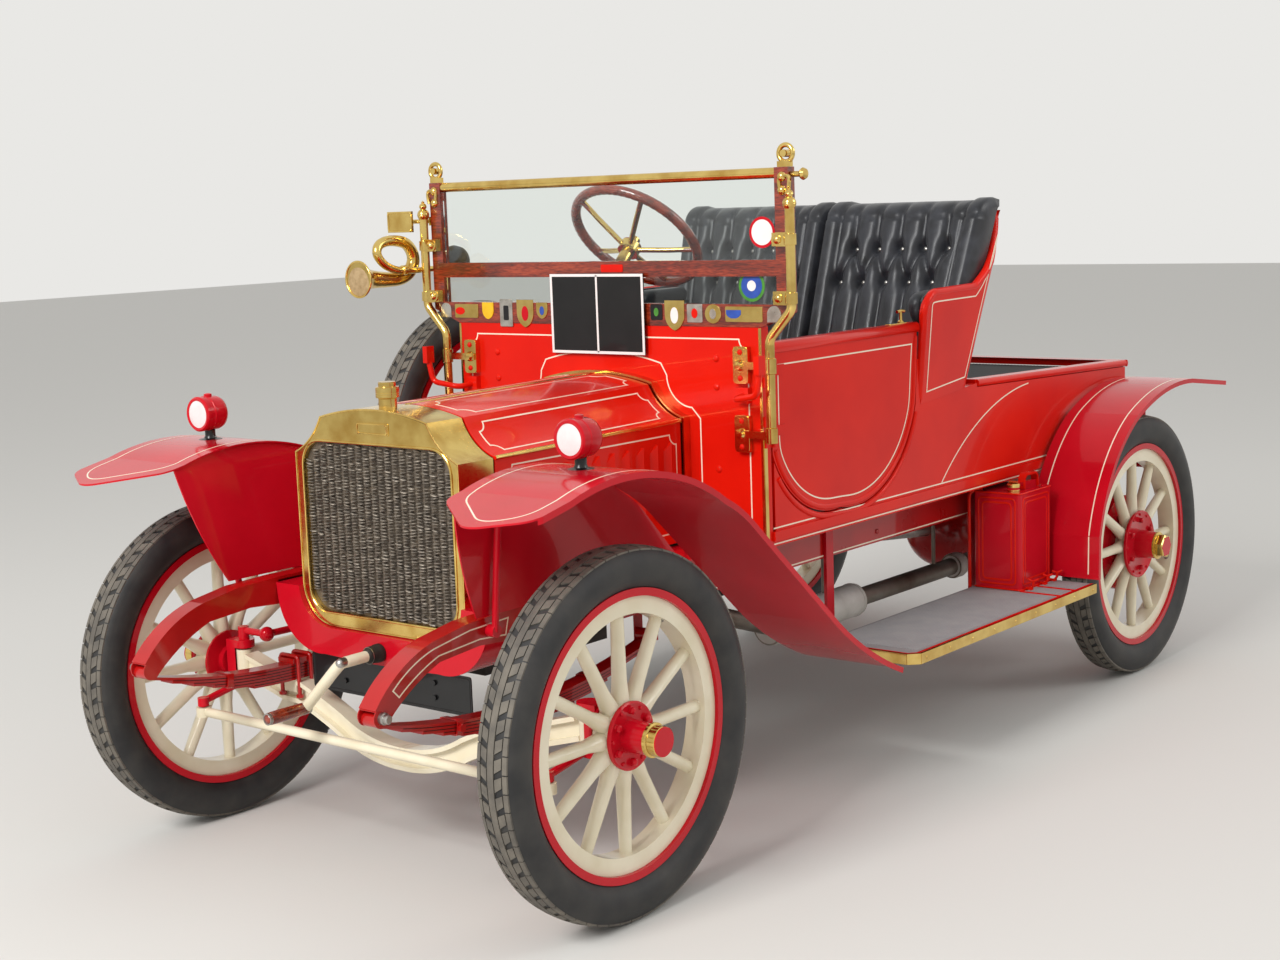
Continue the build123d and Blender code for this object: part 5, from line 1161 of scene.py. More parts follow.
# hide-covered piping inside the tub's edge
pipingMesh = bmesh.new()
pipeLine = roundCorners(((1522, 1180), (1524, 1250), (1580, 1256)), 30) + \
    curveLine((1580, 1256), (1790, 1259), ((1898, 1345), (1962, 1471)), gap=12.0)[1:]
pipePoints = [Vector((tubHalf(p.y) - 20, p.x, p.y + 2.5)) for p in pipeLine if p.y < 1310]
tube(pipingMesh, pipePoints, 4.0, 8)
addMirror(pipingMesh)
finishPiece("seatPiping", pipingMesh, hide, "leather")
backPipe = [(x, tubBack(1470) - 12, 1473) for x in range(-480, 481, 20)]
onePiece("seatBackPiping", tube, (backPipe, 4.0, 8), hide, "leather")

print("windscreen fittings")
blackEnamel = coachEnamel("black stove enamel", {
    "deep": "#0D0D0E", "bright": "#151516", "mottleMm": 80.0, "gloss": 0.3, "rippleMm": 12.0, "ripple": 0.04,
    "coat": 0.4})
whiteEnamel = coachEnamel("white enamel", {
    "deep": "#E6E6E2", "bright": "#F0F0EC", "mottleMm": 60.0, "gloss": 0.25, "rippleMm": 9.0, "ripple": 0.03,
    "coat": 0.5})
vitreous = {"mottleMm": 20.0, "gloss": 0.2, "rippleMm": 6.0, "ripple": 0.03, "coat": 0.6}
blueEnamel = coachEnamel("blue vitreous enamel", {"deep": "#28489A", "bright": "#3057B4", **vitreous})
greenEnamel = coachEnamel("green vitreous enamel", {"deep": "#3E7F2C", "bright": "#4E9637", **vitreous})
yellowEnamel = coachEnamel("yellow vitreous enamel", {"deep": "#E0B410", "bright": "#EEC21E", **vitreous})
silver = polishedMetal("silvered badge metal", {
    "clean": "#CFCBC2", "tarnish": "#A8A298", "cloudMm": 30.0, "wipeMm": 6.0, "gloss": 0.22, "spread": 0.15,
    "bump": 0.1})
frostedGlass = coachEnamel("frosted lamp glass", {
    "deep": "#D9D8D6", "bright": "#E6E5E3", "mottleMm": 30.0, "gloss": 0.45, "rippleMm": 3.0, "ripple": 0.1,
    "coat": 0.2})


def shield(halfWidth, halfHeight):
    line = curveLine((-halfWidth, halfHeight), (-halfWidth, 0),
                     ((-halfWidth * 0.72, -halfHeight * 0.62), (0, -halfHeight)), gap=4.0)
    return line + mirrored(line[:-1])


def archPlate(halfWidth, halfHeight):
    line = curveLine((-halfWidth, 0), ((0, halfHeight), (halfWidth, 0)), gap=4.0)
    return [(-halfWidth, -halfHeight)] + line + [(halfWidth, -halfHeight)]


# a row of plain badges on the lower rail: middle x, middle z, width, height, outline, metal, inlay and its enamel
badgeRow = (
    (-558, 1251, 40, 40, archPlate, silver, None, None),
    (-479, 1249, 88, 38, softOblong, brass, oval, redEnamel),
    (-398, 1250, 42, 46, shield, yellowEnamel, None, None),
    (-330, 1245, 46, 74, softOblong, silver, softOblong, blackEnamel),
    (-261, 1244, 60, 74, shield, brass, oval, wingEnamel),
    (-200, 1252, 40, 44, shield, brass, oval, blueEnamel),
    (190, 1252, 38, 40, softOblong, blackEnamel, oval, greenEnamel),
    (248, 1244, 62, 76, shield, brass, oval, whiteEnamel),
    (312, 1250, 48, 46, softOblong, silver, oval, redEnamel),
    (369, 1249, 50, 48, oval, brass, oval, silver),
    (463, 1249, 112, 38, softOblong, brass, shield, blueEnamel),
    (554, 1250, 42, 40, archPlate, silver, None, None))
badgeParts = {}


def badgeMesh(finish):
    # one mesh for every finish on the badges
    return badgeParts.setdefault(finish.name, (finish, bmesh.new()))[1]


for x, z, width, height, form, metal, inlay, enamel in badgeRow:
    raisedPlate(badgeMesh(metal), form(width / 2, height / 2), (x, railFront, z), *forward, 2.2)
    if inlay:
        inlayX = x - (width * 0.27 if width > 80 else 0)
        raisedPlate(badgeMesh(enamel), inlay(width * 0.2, height * 0.27), (inlayX, 764.9, z), *forward, 0.8, 0.3)
# the bare black plate with a white edge and divider, and a small red plate above it
raisedPlate(badgeMesh(blackEnamel), oblong(158, 104), (0, 758, 1246), *forward, 3.0)
whiteMesh = badgeMesh(whiteEnamel)
flatStrip(whiteMesh, stoodUp(oblong(154, 100), 755.2, (0, 1246)), toFront, flatSection(7, 0.8), closed=True)
flatStrip(whiteMesh, [(2, 755.2, 1146), (2, 755.2, 1346)], toFront, flatSection(6, 0.8))
raisedPlate(badgeMesh(redEnamel), softOblong(37, 10), (47, railFront, 1363), *forward, 1.6)
slotNames = {brass.name: "brass", silver.name: "brass"}
for metalName, (metal, mesh) in badgeParts.items():
    pieceName = "badges" + metalName.title().replace(" ", "")
    finishPiece(pieceName, mesh, metal, slotNames.get(metalName, "red_paint"), smooth=30)
stayMesh = bmesh.new()
for x in (-120, 120):
    lathe(stayMesh, ((0, 0), (9, 0), (9, 9.5), (0, 9.5)), (x, 767.2, 1240), toFront, 16)
finishPiece("plateSpacers", stayMesh, brass, "brass")
# two round plates on the glass: rings of enamel about a plain middle
for name, x, z, rings in (("upperDisc", 516, 1447, ((38, wingEnamel), (31, whiteEnamel))),
                          ("lowerDisc", 481, 1318, ((39, greenEnamel), (31, blueEnamel), (13, whiteEnamel)))):
    for k, (radius, enamel) in enumerate(rings):
        disc = ((0, 0), (radius, 0), (radius, 0.8 + 0.5 * k), (0, 0.8 + 0.5 * k))
        onePiece(f"{name}{k}", lathe, (disc, (x, 778, z), toFront, 40), enamel, "red_paint", smooth=30)

screenBrass = bmesh.new()
for side in (-1, 1):
    for z in (1430.0, 1290.0):
        # clamp plate with a round end, and its nut
        clampLine = curveLine((45, -17), (14, -17), ((0, 0), (14, 17)), (45, 17), gap=5.0)
        clamp = clampLine if side > 0 else mirrored(clampLine)
        raisedPlate(screenBrass, clamp, (side * 566, 745, z), *forward, 3.0)
        lathe(screenBrass, ((0, 0), (11, 0), (11, 3), (8, 7), (4, 9), (0, 9.6)), (side * 584, 743, z), toFront, 16)
        lathe(screenBrass, ((12.2, -14), (15.5, -13), (15.5, 13), (12.2, 14)), (side * 615, 752, z), upward, 20)
    for z in (1578, 1546):
        screwShape = ((0, 0), (12, 0), (12, 2), (9, 6), (5, 8.5), (0, 9.5))
        lathe(screenBrass, screwShape, (side * 584, railFront, z), toFront, 20)
    # scroll from the top screw round the post's edge
    scroll = [(side * (592 + 15 * math.cos(a)), 765.5, 1562 + 24 * math.sin(a) + 6 * math.cos(2 * a))
              for a in (math.pi * (1.25 - 1.5 * k / 14) for k in range(15))]
    tube(screenBrass, scroll, 5, 8)
    # two-stage ball finial on the stay
    finial = ((12, -4), (14, 0), (17.3, 8), (15, 17), (7, 22), (8, 25), (11, 31), (9, 37), (4, 41), (5, 44), (0, 48))
    lathe(screenBrass, finial, (side * 615, 752, 1506), upward, 20)
    # boss at the upper pane's pivot
    lathe(screenBrass, ((0, -12), (9, -12), (9, 12), (0, 12)), (side * 588, 781, 1633), toRear, 16)
    # collars on the lower tube and nuts on the foot plates
    for z in (1125.0, 955.0):
        lathe(screenBrass, ((12.2, -20), (15.5, -18), (15.5, 18), (12.2, 20)), (side * 548, 752, z), upward, 20)
        foot = softOblong(22, 46, 12, 3.0)
        raisedPlate(screenBrass, foot, (side * 459, 752.5, z), *forward, 2.4)
        lathe(screenBrass, ((0, -2), (13, -2), (14, 2), (9, 12), (0, 13)), (side * 459, 750, z), toFront, 16)
# wing bolt that clamps the upper pane
lathe(screenBrass, ((0, 0), (7, 0), (7, 26), (12, 28), (15, 33), (12, 40), (0, 42)), (604, 781, 1583), toLeft, 20)
# strips on the dash's upright edges
for side in (-1, 1):
    flatStrip(screenBrass, [(side * 507.5, dashFace, z) for z in (664, 1215)], toFront, flatSection(7, 1.6))
    flatStrip(screenBrass, [(side * 511, 776, z) for z in (664, 940)], (side, 0, 0), flatSection(13, 1.4))
finishPiece("screenBrass", screenBrass, brass, "brass", smooth=35)
plateScrews = [((x, 749.8, z + dz), toFront) for x in (459, -459) for z in (1125, 955) for dz in (-32, 32)]
heads("plateScrews", plateScrews, 7.5, 0.6, redEnamel)
dashRivets = bothSides([((372, 768.8, z), toFront) for z in (1138, 1067, 860)])
heads("dashRivets", dashRivets, 9.5, 0.55, redEnamel)

print("horn, mirror and lamps")
bulbRubber = dullSurface("soft black rubber", {
    "clean": "#141415", "dusty": "#242322", "grimeMm": 30.0, "grainMm": 1.5, "gloss": 0.4, "bump": 0.1, "metal": 0.0})
# one and a half turns of a tube that swells from the bulb's thin neck to the flared mouth
hornCoil = (
    (-636, 826, 1364, 8), (-636, 790, 1364, 8), (-638, 752, 1363, 8.5), (-641, 705, 1364, 9.5),
    (-645, 664, 1368, 10.5), (-649, 628, 1383, 11.5), (-653, 606, 1410, 12.5), (-657, 614, 1434, 13.5),
    (-660, 645, 1446, 14.5), (-663, 690, 1446, 15.5), (-666, 730, 1436, 16.5), (-669, 755, 1408, 17.5),
    (-671, 756, 1380, 18.5), (-672, 738, 1356, 19.5), (-672, 706, 1343, 20), (-671, 660, 1341, 21),
    (-669, 620, 1343, 23), (-668, 592, 1345, 26), (-667, 572, 1346, 31), (-666, 556, 1347, 38),
    (-666, 547, 1347.5, 44.5), (-666, 543, 1347.5, 48.5))
hornMesh = bmesh.new()


def swellingTube(mesh, stations, steps):
    # a bent tube whose radius changes along it, eased between the stations
    points = [Vector(p[:3]) for p in stations]
    radii = [p[3] for p in stations]
    line = []
    for k in range(len(points) - 1):
        before, here = points[max(0, k - 1)], points[k]
        after, beyond = points[k + 1], points[min(len(points) - 1, k + 2)]
        for i in range(4):
            t = i / 4
            spot = 0.5 * ((2 * here) + (after - before) * t + (2 * before - 5 * here + 4 * after - beyond) * t * t
                          + (3 * here - before - 3 * after + beyond) * t ** 3)
            line.append((spot, radii[k] * (1 - t) + radii[k + 1] * t))
    line.append((points[-1], radii[-1]))
    up = Vector((0.9, 0.1, 0.2))
    rings = []
    for k, (spot, radius) in enumerate(line):
        ahead = (line[min(k + 1, len(line) - 1)][0] - line[max(k - 1, 0)][0]).normalized()
        up = (up - ahead * up.dot(ahead)).normalized()
        side = ahead.cross(up)
        rings.append([mesh.verts.new(spot + (up * math.cos(a) + side * math.sin(a)) * radius) for a in turns(steps)])
    skin(mesh, rings)
    mesh.faces.new(rings[0])
    mesh.faces.new(rings[-1])


swellingTube(hornMesh, hornCoil, 20)
mouth = Vector((-666, 543, 1347.5))
rim = [mouth + Vector((48.5 * math.cos(a), 0, 48.5 * math.sin(a))) for a in turns(40)]
tube(hornMesh, rim, 3.2, 8, closed=True)
for y, z, radius in ((775, 1364, 8), (690, 1365, 10)):
    lathe(hornMesh, ((radius, -8), (radius + 4, -6), (radius + 4, 6), (radius, 8)), (-640, y, z), toRear, 24)
lathe(hornMesh, ((0, 0), (12, 0), (16, 5), (22, 9), (22, 14), (0, 14)), (-636, 822, 1364), (0, 1, 0.25), 24)
tube(hornMesh, [(-640, 752, 1363), (-624, 752, 1363)], 7, 12)
finishPiece("hornBrass", hornMesh, brass, "brass", replaced=("horn",), smooth=50)
gauzeShape = ((0, -2.5), (20, -1.8), (45, 0.5), (45, 2), (0, 2))
gauze = dullSurface("brass wire gauze", {
    "clean": "#C9AF86", "dusty": "#A98F66", "grimeMm": 12.0, "grainMm": 1.6, "gloss": 0.45, "bump": 0.6, "metal": 0.7})
onePiece("hornGauze", lathe, (gauzeShape, mouth, toRear, 36), gauze, "brass", smooth=60)
bulbShape = ((0, 8), (16, 10), (24, 18), (37, 36), (44, 56), (43, 76), (34, 94), (18, 106), (0, 110))
onePiece("hornBulb", lathe, (bulbShape, (-636, 826, 1366), (0, 1, 0.25), 32), bulbRubber, "tyre_rubber", smooth=60)

mirrorMesh = bmesh.new()
mirrorFrame = stoodUp(softOblong(45, 26, 7, 3.0), 741.5, (-700, 1497))
flatStrip(mirrorMesh, mirrorFrame, toFront, roundSection(3.2, 8), closed=True)
lathe(mirrorMesh, ((0, 0), (11, 0), (11, 5), (6, 8), (0, 8.5)), (-700, 748, 1497), toRear, 16)
finishPiece("mirrorRim", mirrorMesh, brass, "brass")
mirrorGlass = polishedMetal("silvered mirror glass", {
    "clean": "#D8DCDC", "tarnish": "#C8CDCD", "cloudMm": 90.0, "wipeMm": 40.0, "gloss": 0.03, "spread": 0.03,
    "bump": 0.0})
onePiece("mirrorGlass", raisedPlate, (oblong(42, 23), (-700, 748, 1497), toRight, upward, 1.2), mirrorGlass,
         "brass", smooth=0)

lampAt = x, y, z = (611.0, -34.0, 1047.0)
lampDrum, lampLens, lampFoot = bmesh.new(), bmesh.new(), bmesh.new()
drumShape = ((34, -29), (34, -35.5), (40, -37), (43.5, -33), (43.5, -25), (42.4, -24), (42.4, -12), (43.6, -11),
             (43.6, -7), (42.4, -6), (42.4, 18), (39, 28), (30, 35), (16, 38), (0, 38.5))
lensShape = ((0, -37.0), (12, -36.8), (26, -36.0), (35.5, -34.0), (35.5, -31), (0, -31))
lathe(lampDrum, drumShape, lampAt, toRear, 40)
lathe(lampDrum, ((6, -2), (10, -1), (10, 6), (4, 8), (0, 8)), (x, y, z + 42), upward, 16)
lathe(lampLens, lensShape, lampAt, toRear, 40)
lathe(lampFoot, ((0, 0), (29, 0), (29, 3), (16, 6), (13, 12), (13, 26), (0, 26)), (x, y, 979), upward, 24)
for mesh, material, name, slotName in ((lampDrum, wingEnamel, "lampDrums", "crimson_paint"),
                                       (lampLens, frostedGlass, "lampLenses", "pane"),
                                       (lampFoot, blackEnamel, "lampFeet", "iron")):
    addMirror(mesh)
    finishPiece(name, mesh, material, slotName, replaced=("side_lamps",) if mesh is lampDrum else ())

print("steering wheel")
wheelCentre = Vector((-240.0, 1228.0, 1432.0))
columnAxis = Vector((0, math.sin(math.radians(45)), math.cos(math.radians(45))))
alongX = Vector(toLeft)
alongUp = columnAxis.cross(alongX)
spokeMesh = bmesh.new()
for k in range(5):
    a = math.radians(90 + 72 * k)
    reach = alongX * math.cos(a) + alongUp * math.sin(a)
    tube(spokeMesh, [wheelCentre - columnAxis * 45 + reach * 24, wheelCentre - columnAxis * 22 + reach * 112,
                     wheelCentre + reach * 182], 7.7, 10)
bossShape = ((0, -61), (30.5, -61), (31, -58), (31, -33), (26, -28), (16, -24), (16, -10), (12, -6), (0, -5))
lathe(spokeMesh, bossShape, wheelCentre, columnAxis, 32)
finishPiece("steeringSpokes", spokeMesh, brass, "brass", "steering_wheel", smooth=40)
# a rim with sixty shallow finger grips
gripLine = []
for a in turns(240):
    reach = alongX * math.cos(a) + alongUp * math.sin(a)
    gripLine.append(wheelCentre + reach * 191 - columnAxis * (0.4 + 0.5 * math.cos(60 * a)))
onePiece("steeringRim", tube, (gripLine, 14.3, 14, True), mahogany, "mahogany", body="steering_wheel", smooth=60)

print("mouldings, boards and fittings")


def halfRound(width, proud, steps=6):
    arc = [math.pi * (1 - k / steps) for k in range(steps + 1)]
    return [(-width / 2, -0.3)] + [(width / 2 * math.cos(a), proud * math.sin(a)) for a in arc] + [(width / 2, -0.3)]


def beadOnSide(mesh, points, face):
    # a half-round moulding through (y, z) points
    sweepStrip(mesh, [face(*p) for p in points], halfRound(moulding["width"], moulding["proud"]))


moulding = {"width": 15.0, "proud": 5.0}
doorMesh = bmesh.new()
beadOnSide(doorMesh, spread(doorLine(9)[14:], 14.0), bodyFace)
railShape = [(-13, 0), (-12, 6), (-6, 9), (2, 9), (9, 7.5), (13, 4), (15, -2), (15, -20), (13, -25), (10, -25), (10, 0)]
raisedPlate(doorMesh, railShape, (511, 807, 1164), upward, toLeft, 697, 1.0)
finishPiece("doorMoulding", doorMesh, redEnamel, "red_paint", "door", smooth=50)
bodyMesh = bmesh.new()
raisedPlate(bodyMesh, railShape, (-511, 802, 1164), upward, toRight, -714, 1.0)
# a second bead round the doorway, on the body
beadOnSide(bodyMesh, spread(doorLine(-15)[21:-12], 14.0), bodyFace)
finishPiece("bodyMoulding", bodyMesh, redEnamel, "red_paint", smooth=50)

latchMesh = bmesh.new()
raisedPlate(latchMesh, softOblong(48, 9), (499, 1420, 1178.6), toRear, toRight, 2.2)
lathe(latchMesh, ((0, 0), (9, 0), (9, 4), (4.5, 8), (4, 30), (0, 30)), (499, 1440, 1180), upward, 16)
tube(latchMesh, [(499, 1422, 1211), (499, 1440, 1213), (499, 1458, 1211)], 4.5, 10)
finishPiece("doorLatch", latchMesh, brass, "brass", "door")


def armEdge():
    # the seat side's upper edge, from the front foot over the arm and up the back
    line = [(1523, 965), (1523, 1180)] + curveLine((1521, 1190), ((1536, 1236), (1580, 1254)), gap=8.0)
    line += [(1700, 1256), (1790, 1258)] + curveLine((1790, 1258), ((1898, 1345), (1957, 1462)), gap=12.0)[1:]
    return spread(line, 24.0)


half = [Vector((tubHalf(p.y) - 11, p.x, p.y)) for p in armEdge() if p.y < 1310]
# behind the arm the edge turns in round the tub's corner
corner = [Vector(p) for p in ((531, 1881, 1326), (524, 1903, 1350), (519, 1919, 1377), (516, 1931, 1398),
                              (513, 1941, 1419), (510, 1950, 1443), (502, 1956, 1463), (488, 1957, 1470))]
across = [Vector((x, 1957, 1470)) for x in (420, 300, 180, 60)]
path = half + corner + across
path = path + [Vector((-p.x, p.y, p.z)) for p in reversed(path)]
onePiece("seatEdging", tube, (path, 12.5, 12), redEnamel, "red_paint", smooth=60)


def deckLine(y):
    return 989 - (y - 1836) * 0.03


deckMesh = bmesh.new()
rimPath = [(505, y, deckLine(y) - 11) for y in (1842, 2000, 2200, 2400, 2600, 2800, 2830)]
flatStrip(deckMesh, rimPath, toLeft, halfRound(22, 10))
addMirror(deckMesh)
tailPath = [(x, 2836, deckLine(2836) - 11) for x in (-513, 0, 513)]
flatStrip(deckMesh, tailPath, toRear, halfRound(22, 8))
finishPiece("deckEdging", deckMesh, redEnamel, "red_paint", smooth=60)

# ribs laid side by side: a bar repeated from a start point
ribTree, ribIn = startTree("side by side ribs", (
    ("Count", "NodeSocketInt"), ("Start", "NodeSocketVector"), ("Pitch", "NodeSocketVector"),
    ("Run", "NodeSocketVector"), ("Radius", "NodeSocketFloat"), ("Finish", "NodeSocketMaterial")))
ribLine = addNode(ribTree, "GeometryNodeCurvePrimitiveLine", links={"End": (ribIn, "Run")})
ribRound = addNode(ribTree, "GeometryNodeCurvePrimitiveCircle", {"Resolution": 8}, {"Radius": (ribIn, "Radius")})
ribBar = addNode(ribTree, "GeometryNodeCurveToMesh", {"Fill Caps": True}, {
    "Curve": (ribLine, "Curve"), "Profile Curve": (ribRound, "Curve")})
ribPlaces = addNode(ribTree, "GeometryNodeMeshLine", links={
    "Count": (ribIn, "Count"), "Start Location": (ribIn, "Start"), "Offset": (ribIn, "Pitch")})
ribEach = addNode(ribTree, "GeometryNodeInstanceOnPoints", links={
    "Points": (ribPlaces, "Mesh"), "Instance": (ribBar, "Mesh")})
endTree(ribTree, ribIn, ribEach)


def ribs(name, count, start, pitch, run, material):
    grow(name, ribTree, pointsWithAim([(start, upward)]), {
        "Count": count, "Start": start, "Pitch": pitch, "Run": run, "Radius": boardForm["radius"],
        "Finish": material}, smooth=50)


boardForm = {"inner": 456.0, "outer": 730.0, "front": 1094.0, "rear": 1898.0, "pitch": 8.6, "radius": 3.4, "proud": 1.7}
for side, sideName in sides:
    treadMesh = bmesh.new()
    inner, outer, front, rear = (boardForm[k] for k in ("inner", "outer", "front", "rear"))
    stretches = [(inner, outer, front, rear if side > 0 else 2106)]
    if side > 0:
        stretches += [(616, outer, 1916, 1990), (616, outer, 2008, 2104)]
    for number, (x0, x1, y0, y1) in enumerate(stretches):
        middle = ((x0 + x1) / 2 * side, (y0 + y1) / 2, 360)
        cut = 22 if number == 0 else 0
        w, h = (x1 - x0) / 2, (y1 - y0) / 2
        plan = [(-w * side, -h), ((w - cut) * side, -h), (w * side, -h + cut), (w * side, h), (-w * side, h)]
        raisedPlate(treadMesh, plan if side > 0 else list(reversed(plan)), middle, toLeft, toRear, 1.6, 0.5)
        count = int((x1 - x0 - 14) / boardForm["pitch"])
        z = 361.6 - boardForm["radius"] + boardForm["proud"]
        ribs(f"treadRibs{sideName}{number}", count, (side * (x0 + 8), y0 + 10 + cut, z),
             (side * boardForm["pitch"], 0, 0), (0, y1 - y0 - 20 - cut, 0), treadMat)
    finishPiece("tread" + sideName, treadMesh, treadMat, "tread", smooth=30)
redEdge, brassEdge = bmesh.new(), bmesh.new()
flatStrip(redEdge, [(452, 1085, 360), (719, 1085, 360), (740, 1106, 360), (740, 2112, 360)], upward,
          flatSection(13, 1.8))
flatStrip(redEdge, [(612, 1902, 360), (612, 2112, 360)], upward, flatSection(7, 1.8))
for y in (1907, 1999):
    flatStrip(redEdge, [(616, y, 360), (734, y, 360)], upward, flatSection(16, 1.7))
# a brass angle round the board's edge: its face and the lip on top
angleShape = [(-13.5, -0.3), (-13.5, 1.8), (-12.5, 2.4), (12.5, 2.4), (13.5, 1.8), (13.5, -0.3)]
for start, end, out in (((450, 1078), (722.5, 1078), toFront),
                        ((721.8, 1078), (748, 1104.2), (0.7071, -0.7071, 0)),
                        ((748, 1103.5), (748, 2114.5), toLeft)):
    ends = [Vector((*start, 347)), Vector((*end, 347))]
    flatStrip(brassEdge, ends, out, angleShape)
    lip = [p + Vector((0, 0, 13.2)) - Vector(out) * 2 for p in ends]
    flatStrip(brassEdge, lip, upward, flatSection(8, 1.6))
addMirror(redEdge)
addMirror(brassEdge)
finishPiece("boardRedEdge", redEdge, redEnamel, "red_paint", smooth=30)
finishPiece("boardBrassEdge", brassEdge, brass, "brass", smooth=30)
edgeScrews = bothSides([((750.2, y, 347), toLeft) for y in range(1130, 2100, 120)])
heads("boardScrews", edgeScrews, 4.5, 0.45, brass)

# dark matting in the load tray
matMesh = bmesh.new()
matCorners = ((-466, 1875), (466, 1875), (466, 2797), (-466, 2797))
matSpots = [matMesh.verts.new((x, y, deckLine(y) - 30 + h)) for h in (0.2, 3.2) for x, y in matCorners]
for face in ((0, 1, 2, 3), (4, 5, 6, 7), (0, 1, 5, 4), (1, 2, 6, 5), (2, 3, 7, 6), (3, 0, 4, 7)):
    matMesh.faces.new([matSpots[k] for k in face])
finishPiece("deckMat", matMesh, matRubber, "mat", smooth=0)
ribs("deckRibs", 76, (-456, 1880, deckLine(1880) - 30 + 2.4), (12.16, 0, 0), (0, 912, -912 * 0.03), matRubber)

print("can and number plate")
canMesh = bmesh.new()
for centre, right, half in (((531, 1909.5, 505), toLeft, 77), ((608, 2007.5, 505), toRear, 98)):
    right, centre = Vector(right), Vector(centre)
    for inset, proud in ((17, 1.6), (30, 0.9)):
        pressed = [centre + right * p.x + Vector((0, 0, p.y)) for p in softOblong(half - inset, 145 - inset, 14, 5.0)]
        flatStrip(canMesh, pressed, right.cross(Vector(upward)), halfRound(6, proud, 4), closed=True)
for z in (363, 648):
    seam = [(p.x + 531, p.y + 2007.5, z) for p in softOblong(77.4, 98.4, 12, 4.0)]
    tube(canMesh, seam, 2.6, 8, closed=True)
strap = [(568, y, z) for y, z in ((1996, 651), (1998, 682), (2010, 692), (2066, 692), (2078, 682), (2080, 651))]
flatStrip(canMesh, strap, toLeft, [(-3, -11), (-3, 11), (3, 11), (3, -11)])
# holder: a bent rod up the near front corner and clamps with wing nuts at the foot
tube(canMesh, ((444, 1903, 362), (444, 1903, 625), (446, 1906, 642), (456, 1916, 652), (474, 1930, 654)), 5, 10)
for y in (1940, 2030, 2090):
    tube(canMesh, ((610, y, 366), (626, y, 366), (634, y, 376), (634, y, 392)), 4, 8)
    tube(canMesh, ((622, y - 9, 394), (634, y, 388), (646, y + 9, 394)), 3.6, 8)
    lathe(canMesh, ((0, 0), (9, 0), (9, 6), (0, 6)), (624, y, 361.8), upward, 12)
finishPiece("canPressings", canMesh, redEnamel, "red_paint", smooth=50)
canCap = bmesh.new()
capShape = ((0, 0), (19, 0), (19, 5), (17, 7), (17, 11), (20, 13), (20, 20), (17, 23.5), (8, 24), (0, 24))
lathe(canCap, capShape, (568, 1945.5, 650.4), upward, 28)
tube(canCap, ((554, 1945.5, 678), (582, 1945.5, 678)), 4, 10)
finishPiece("canCap", canCap, brass, "brass")

plateMesh = bmesh.new()
numberPlate = {"y": -42.0, "half": 266.0, "low": 394.0, "high": 487.0}
faceY, plateHalf = numberPlate["y"], numberPlate["half"]
middleZ, tall = (numberPlate["low"] + numberPlate["high"]) / 2, (numberPlate["high"] - numberPlate["low"]) / 2
raisedPlate(plateMesh, softOblong(plateHalf, tall, 8, 3.0), (0, faceY + 2, middleZ), *forward, 3.0)
borderLine = stoodUp(softOblong(plateHalf - 6, tall - 6, 5, 3.0), faceY - 1, (0, middleZ))
flatStrip(plateMesh, borderLine, toFront, halfRound(4, 1.2, 4), closed=True)
for x in (-150, 150):
    raisedPlate(plateMesh, oblong(12, 42), (x, faceY + 6, 452), *forward, 3.6)
finishPiece("numberPlate", plateMesh, blackEnamel, "iron", smooth=30)
plateBolts = [((x, faceY - 2, z), toFront) for x in (-150, 150) for z in (425, 460)]
hexHeads("plateBolts", plateBolts, 6.5, 4.0, blackEnamel)
# a like plate hangs from the tail panel
tailPlate = bmesh.new()
raisedPlate(tailPlate, softOblong(266, 46, 8, 3.0), (0, 2825.5, 770), toRight, upward, 4.0)
borderLine = stoodUp(softOblong(260, 40, 5, 3.0), 2829.5, (0, 770))
flatStrip(tailPlate, borderLine, toRear, halfRound(4, 1.2, 4), closed=True)
finishPiece("tailPlate", tailPlate, blackEnamel, "iron", smooth=30)

print("bolts and small ironwork")
railPlaces = []
for y in (80, 325, 620, 710, 1195, 1450, 1975, 2070, 2420, 2660, 2910):
    railPlaces += [((405.2, y, 640), toLeft), ((405.2, y, 596), toLeft)]
heads("railRivets", bothSides(railPlaces), 8.0, 0.6, shadedChassisEnamel)
armLine = ((0, -112, 517), (0, -172, 517), (-5, -188, 513), (-20, -191, 498), (-112, -195, 408), (-127, -196, 394))
onePiece("starterArm", tube, (armLine, 13.4, 14), creamEnamel, "cream_paint", smooth=60)
socketShape = ((12, 0), (22, 0), (22, 12), (20.6, 14), (20.6, 34), (16, 42), (14, 44), (12, 44))
onePiece("starterSocket", lathe, (socketShape, (0, -69, 517), toFront, 24), castIron, "iron")
gripShape = ((0, 0), (12, 0), (14.4, 6), (14.8, 40), (15.6, 80), (14.8, 112), (11, 121), (0, 123))
onePiece("starterGrip", lathe, (gripShape, (-124, -189, 396), toFront, 24), mahogany, "mahogany", smooth=60)
# each bonnet hinge is a row of twelve knuckles
for side, sideName in sides:
    hinge = bmesh.new()
    for k in range(12):
        ends = [(side * (bonnetForm["half"] + bonnetForm["flare"] * t), 63.5 + 673 * t,
                 bonnetForm["hinge"] + bonnetForm["rise"] * t) for t in (k / 12, (k + 0.985) / 12)]
        tube(hinge, ends, 5.7, 10)
    finishPiece("bonnetHinge" + sideName, hinge, brass, "brass", "bonnet_" + sideName.lower())

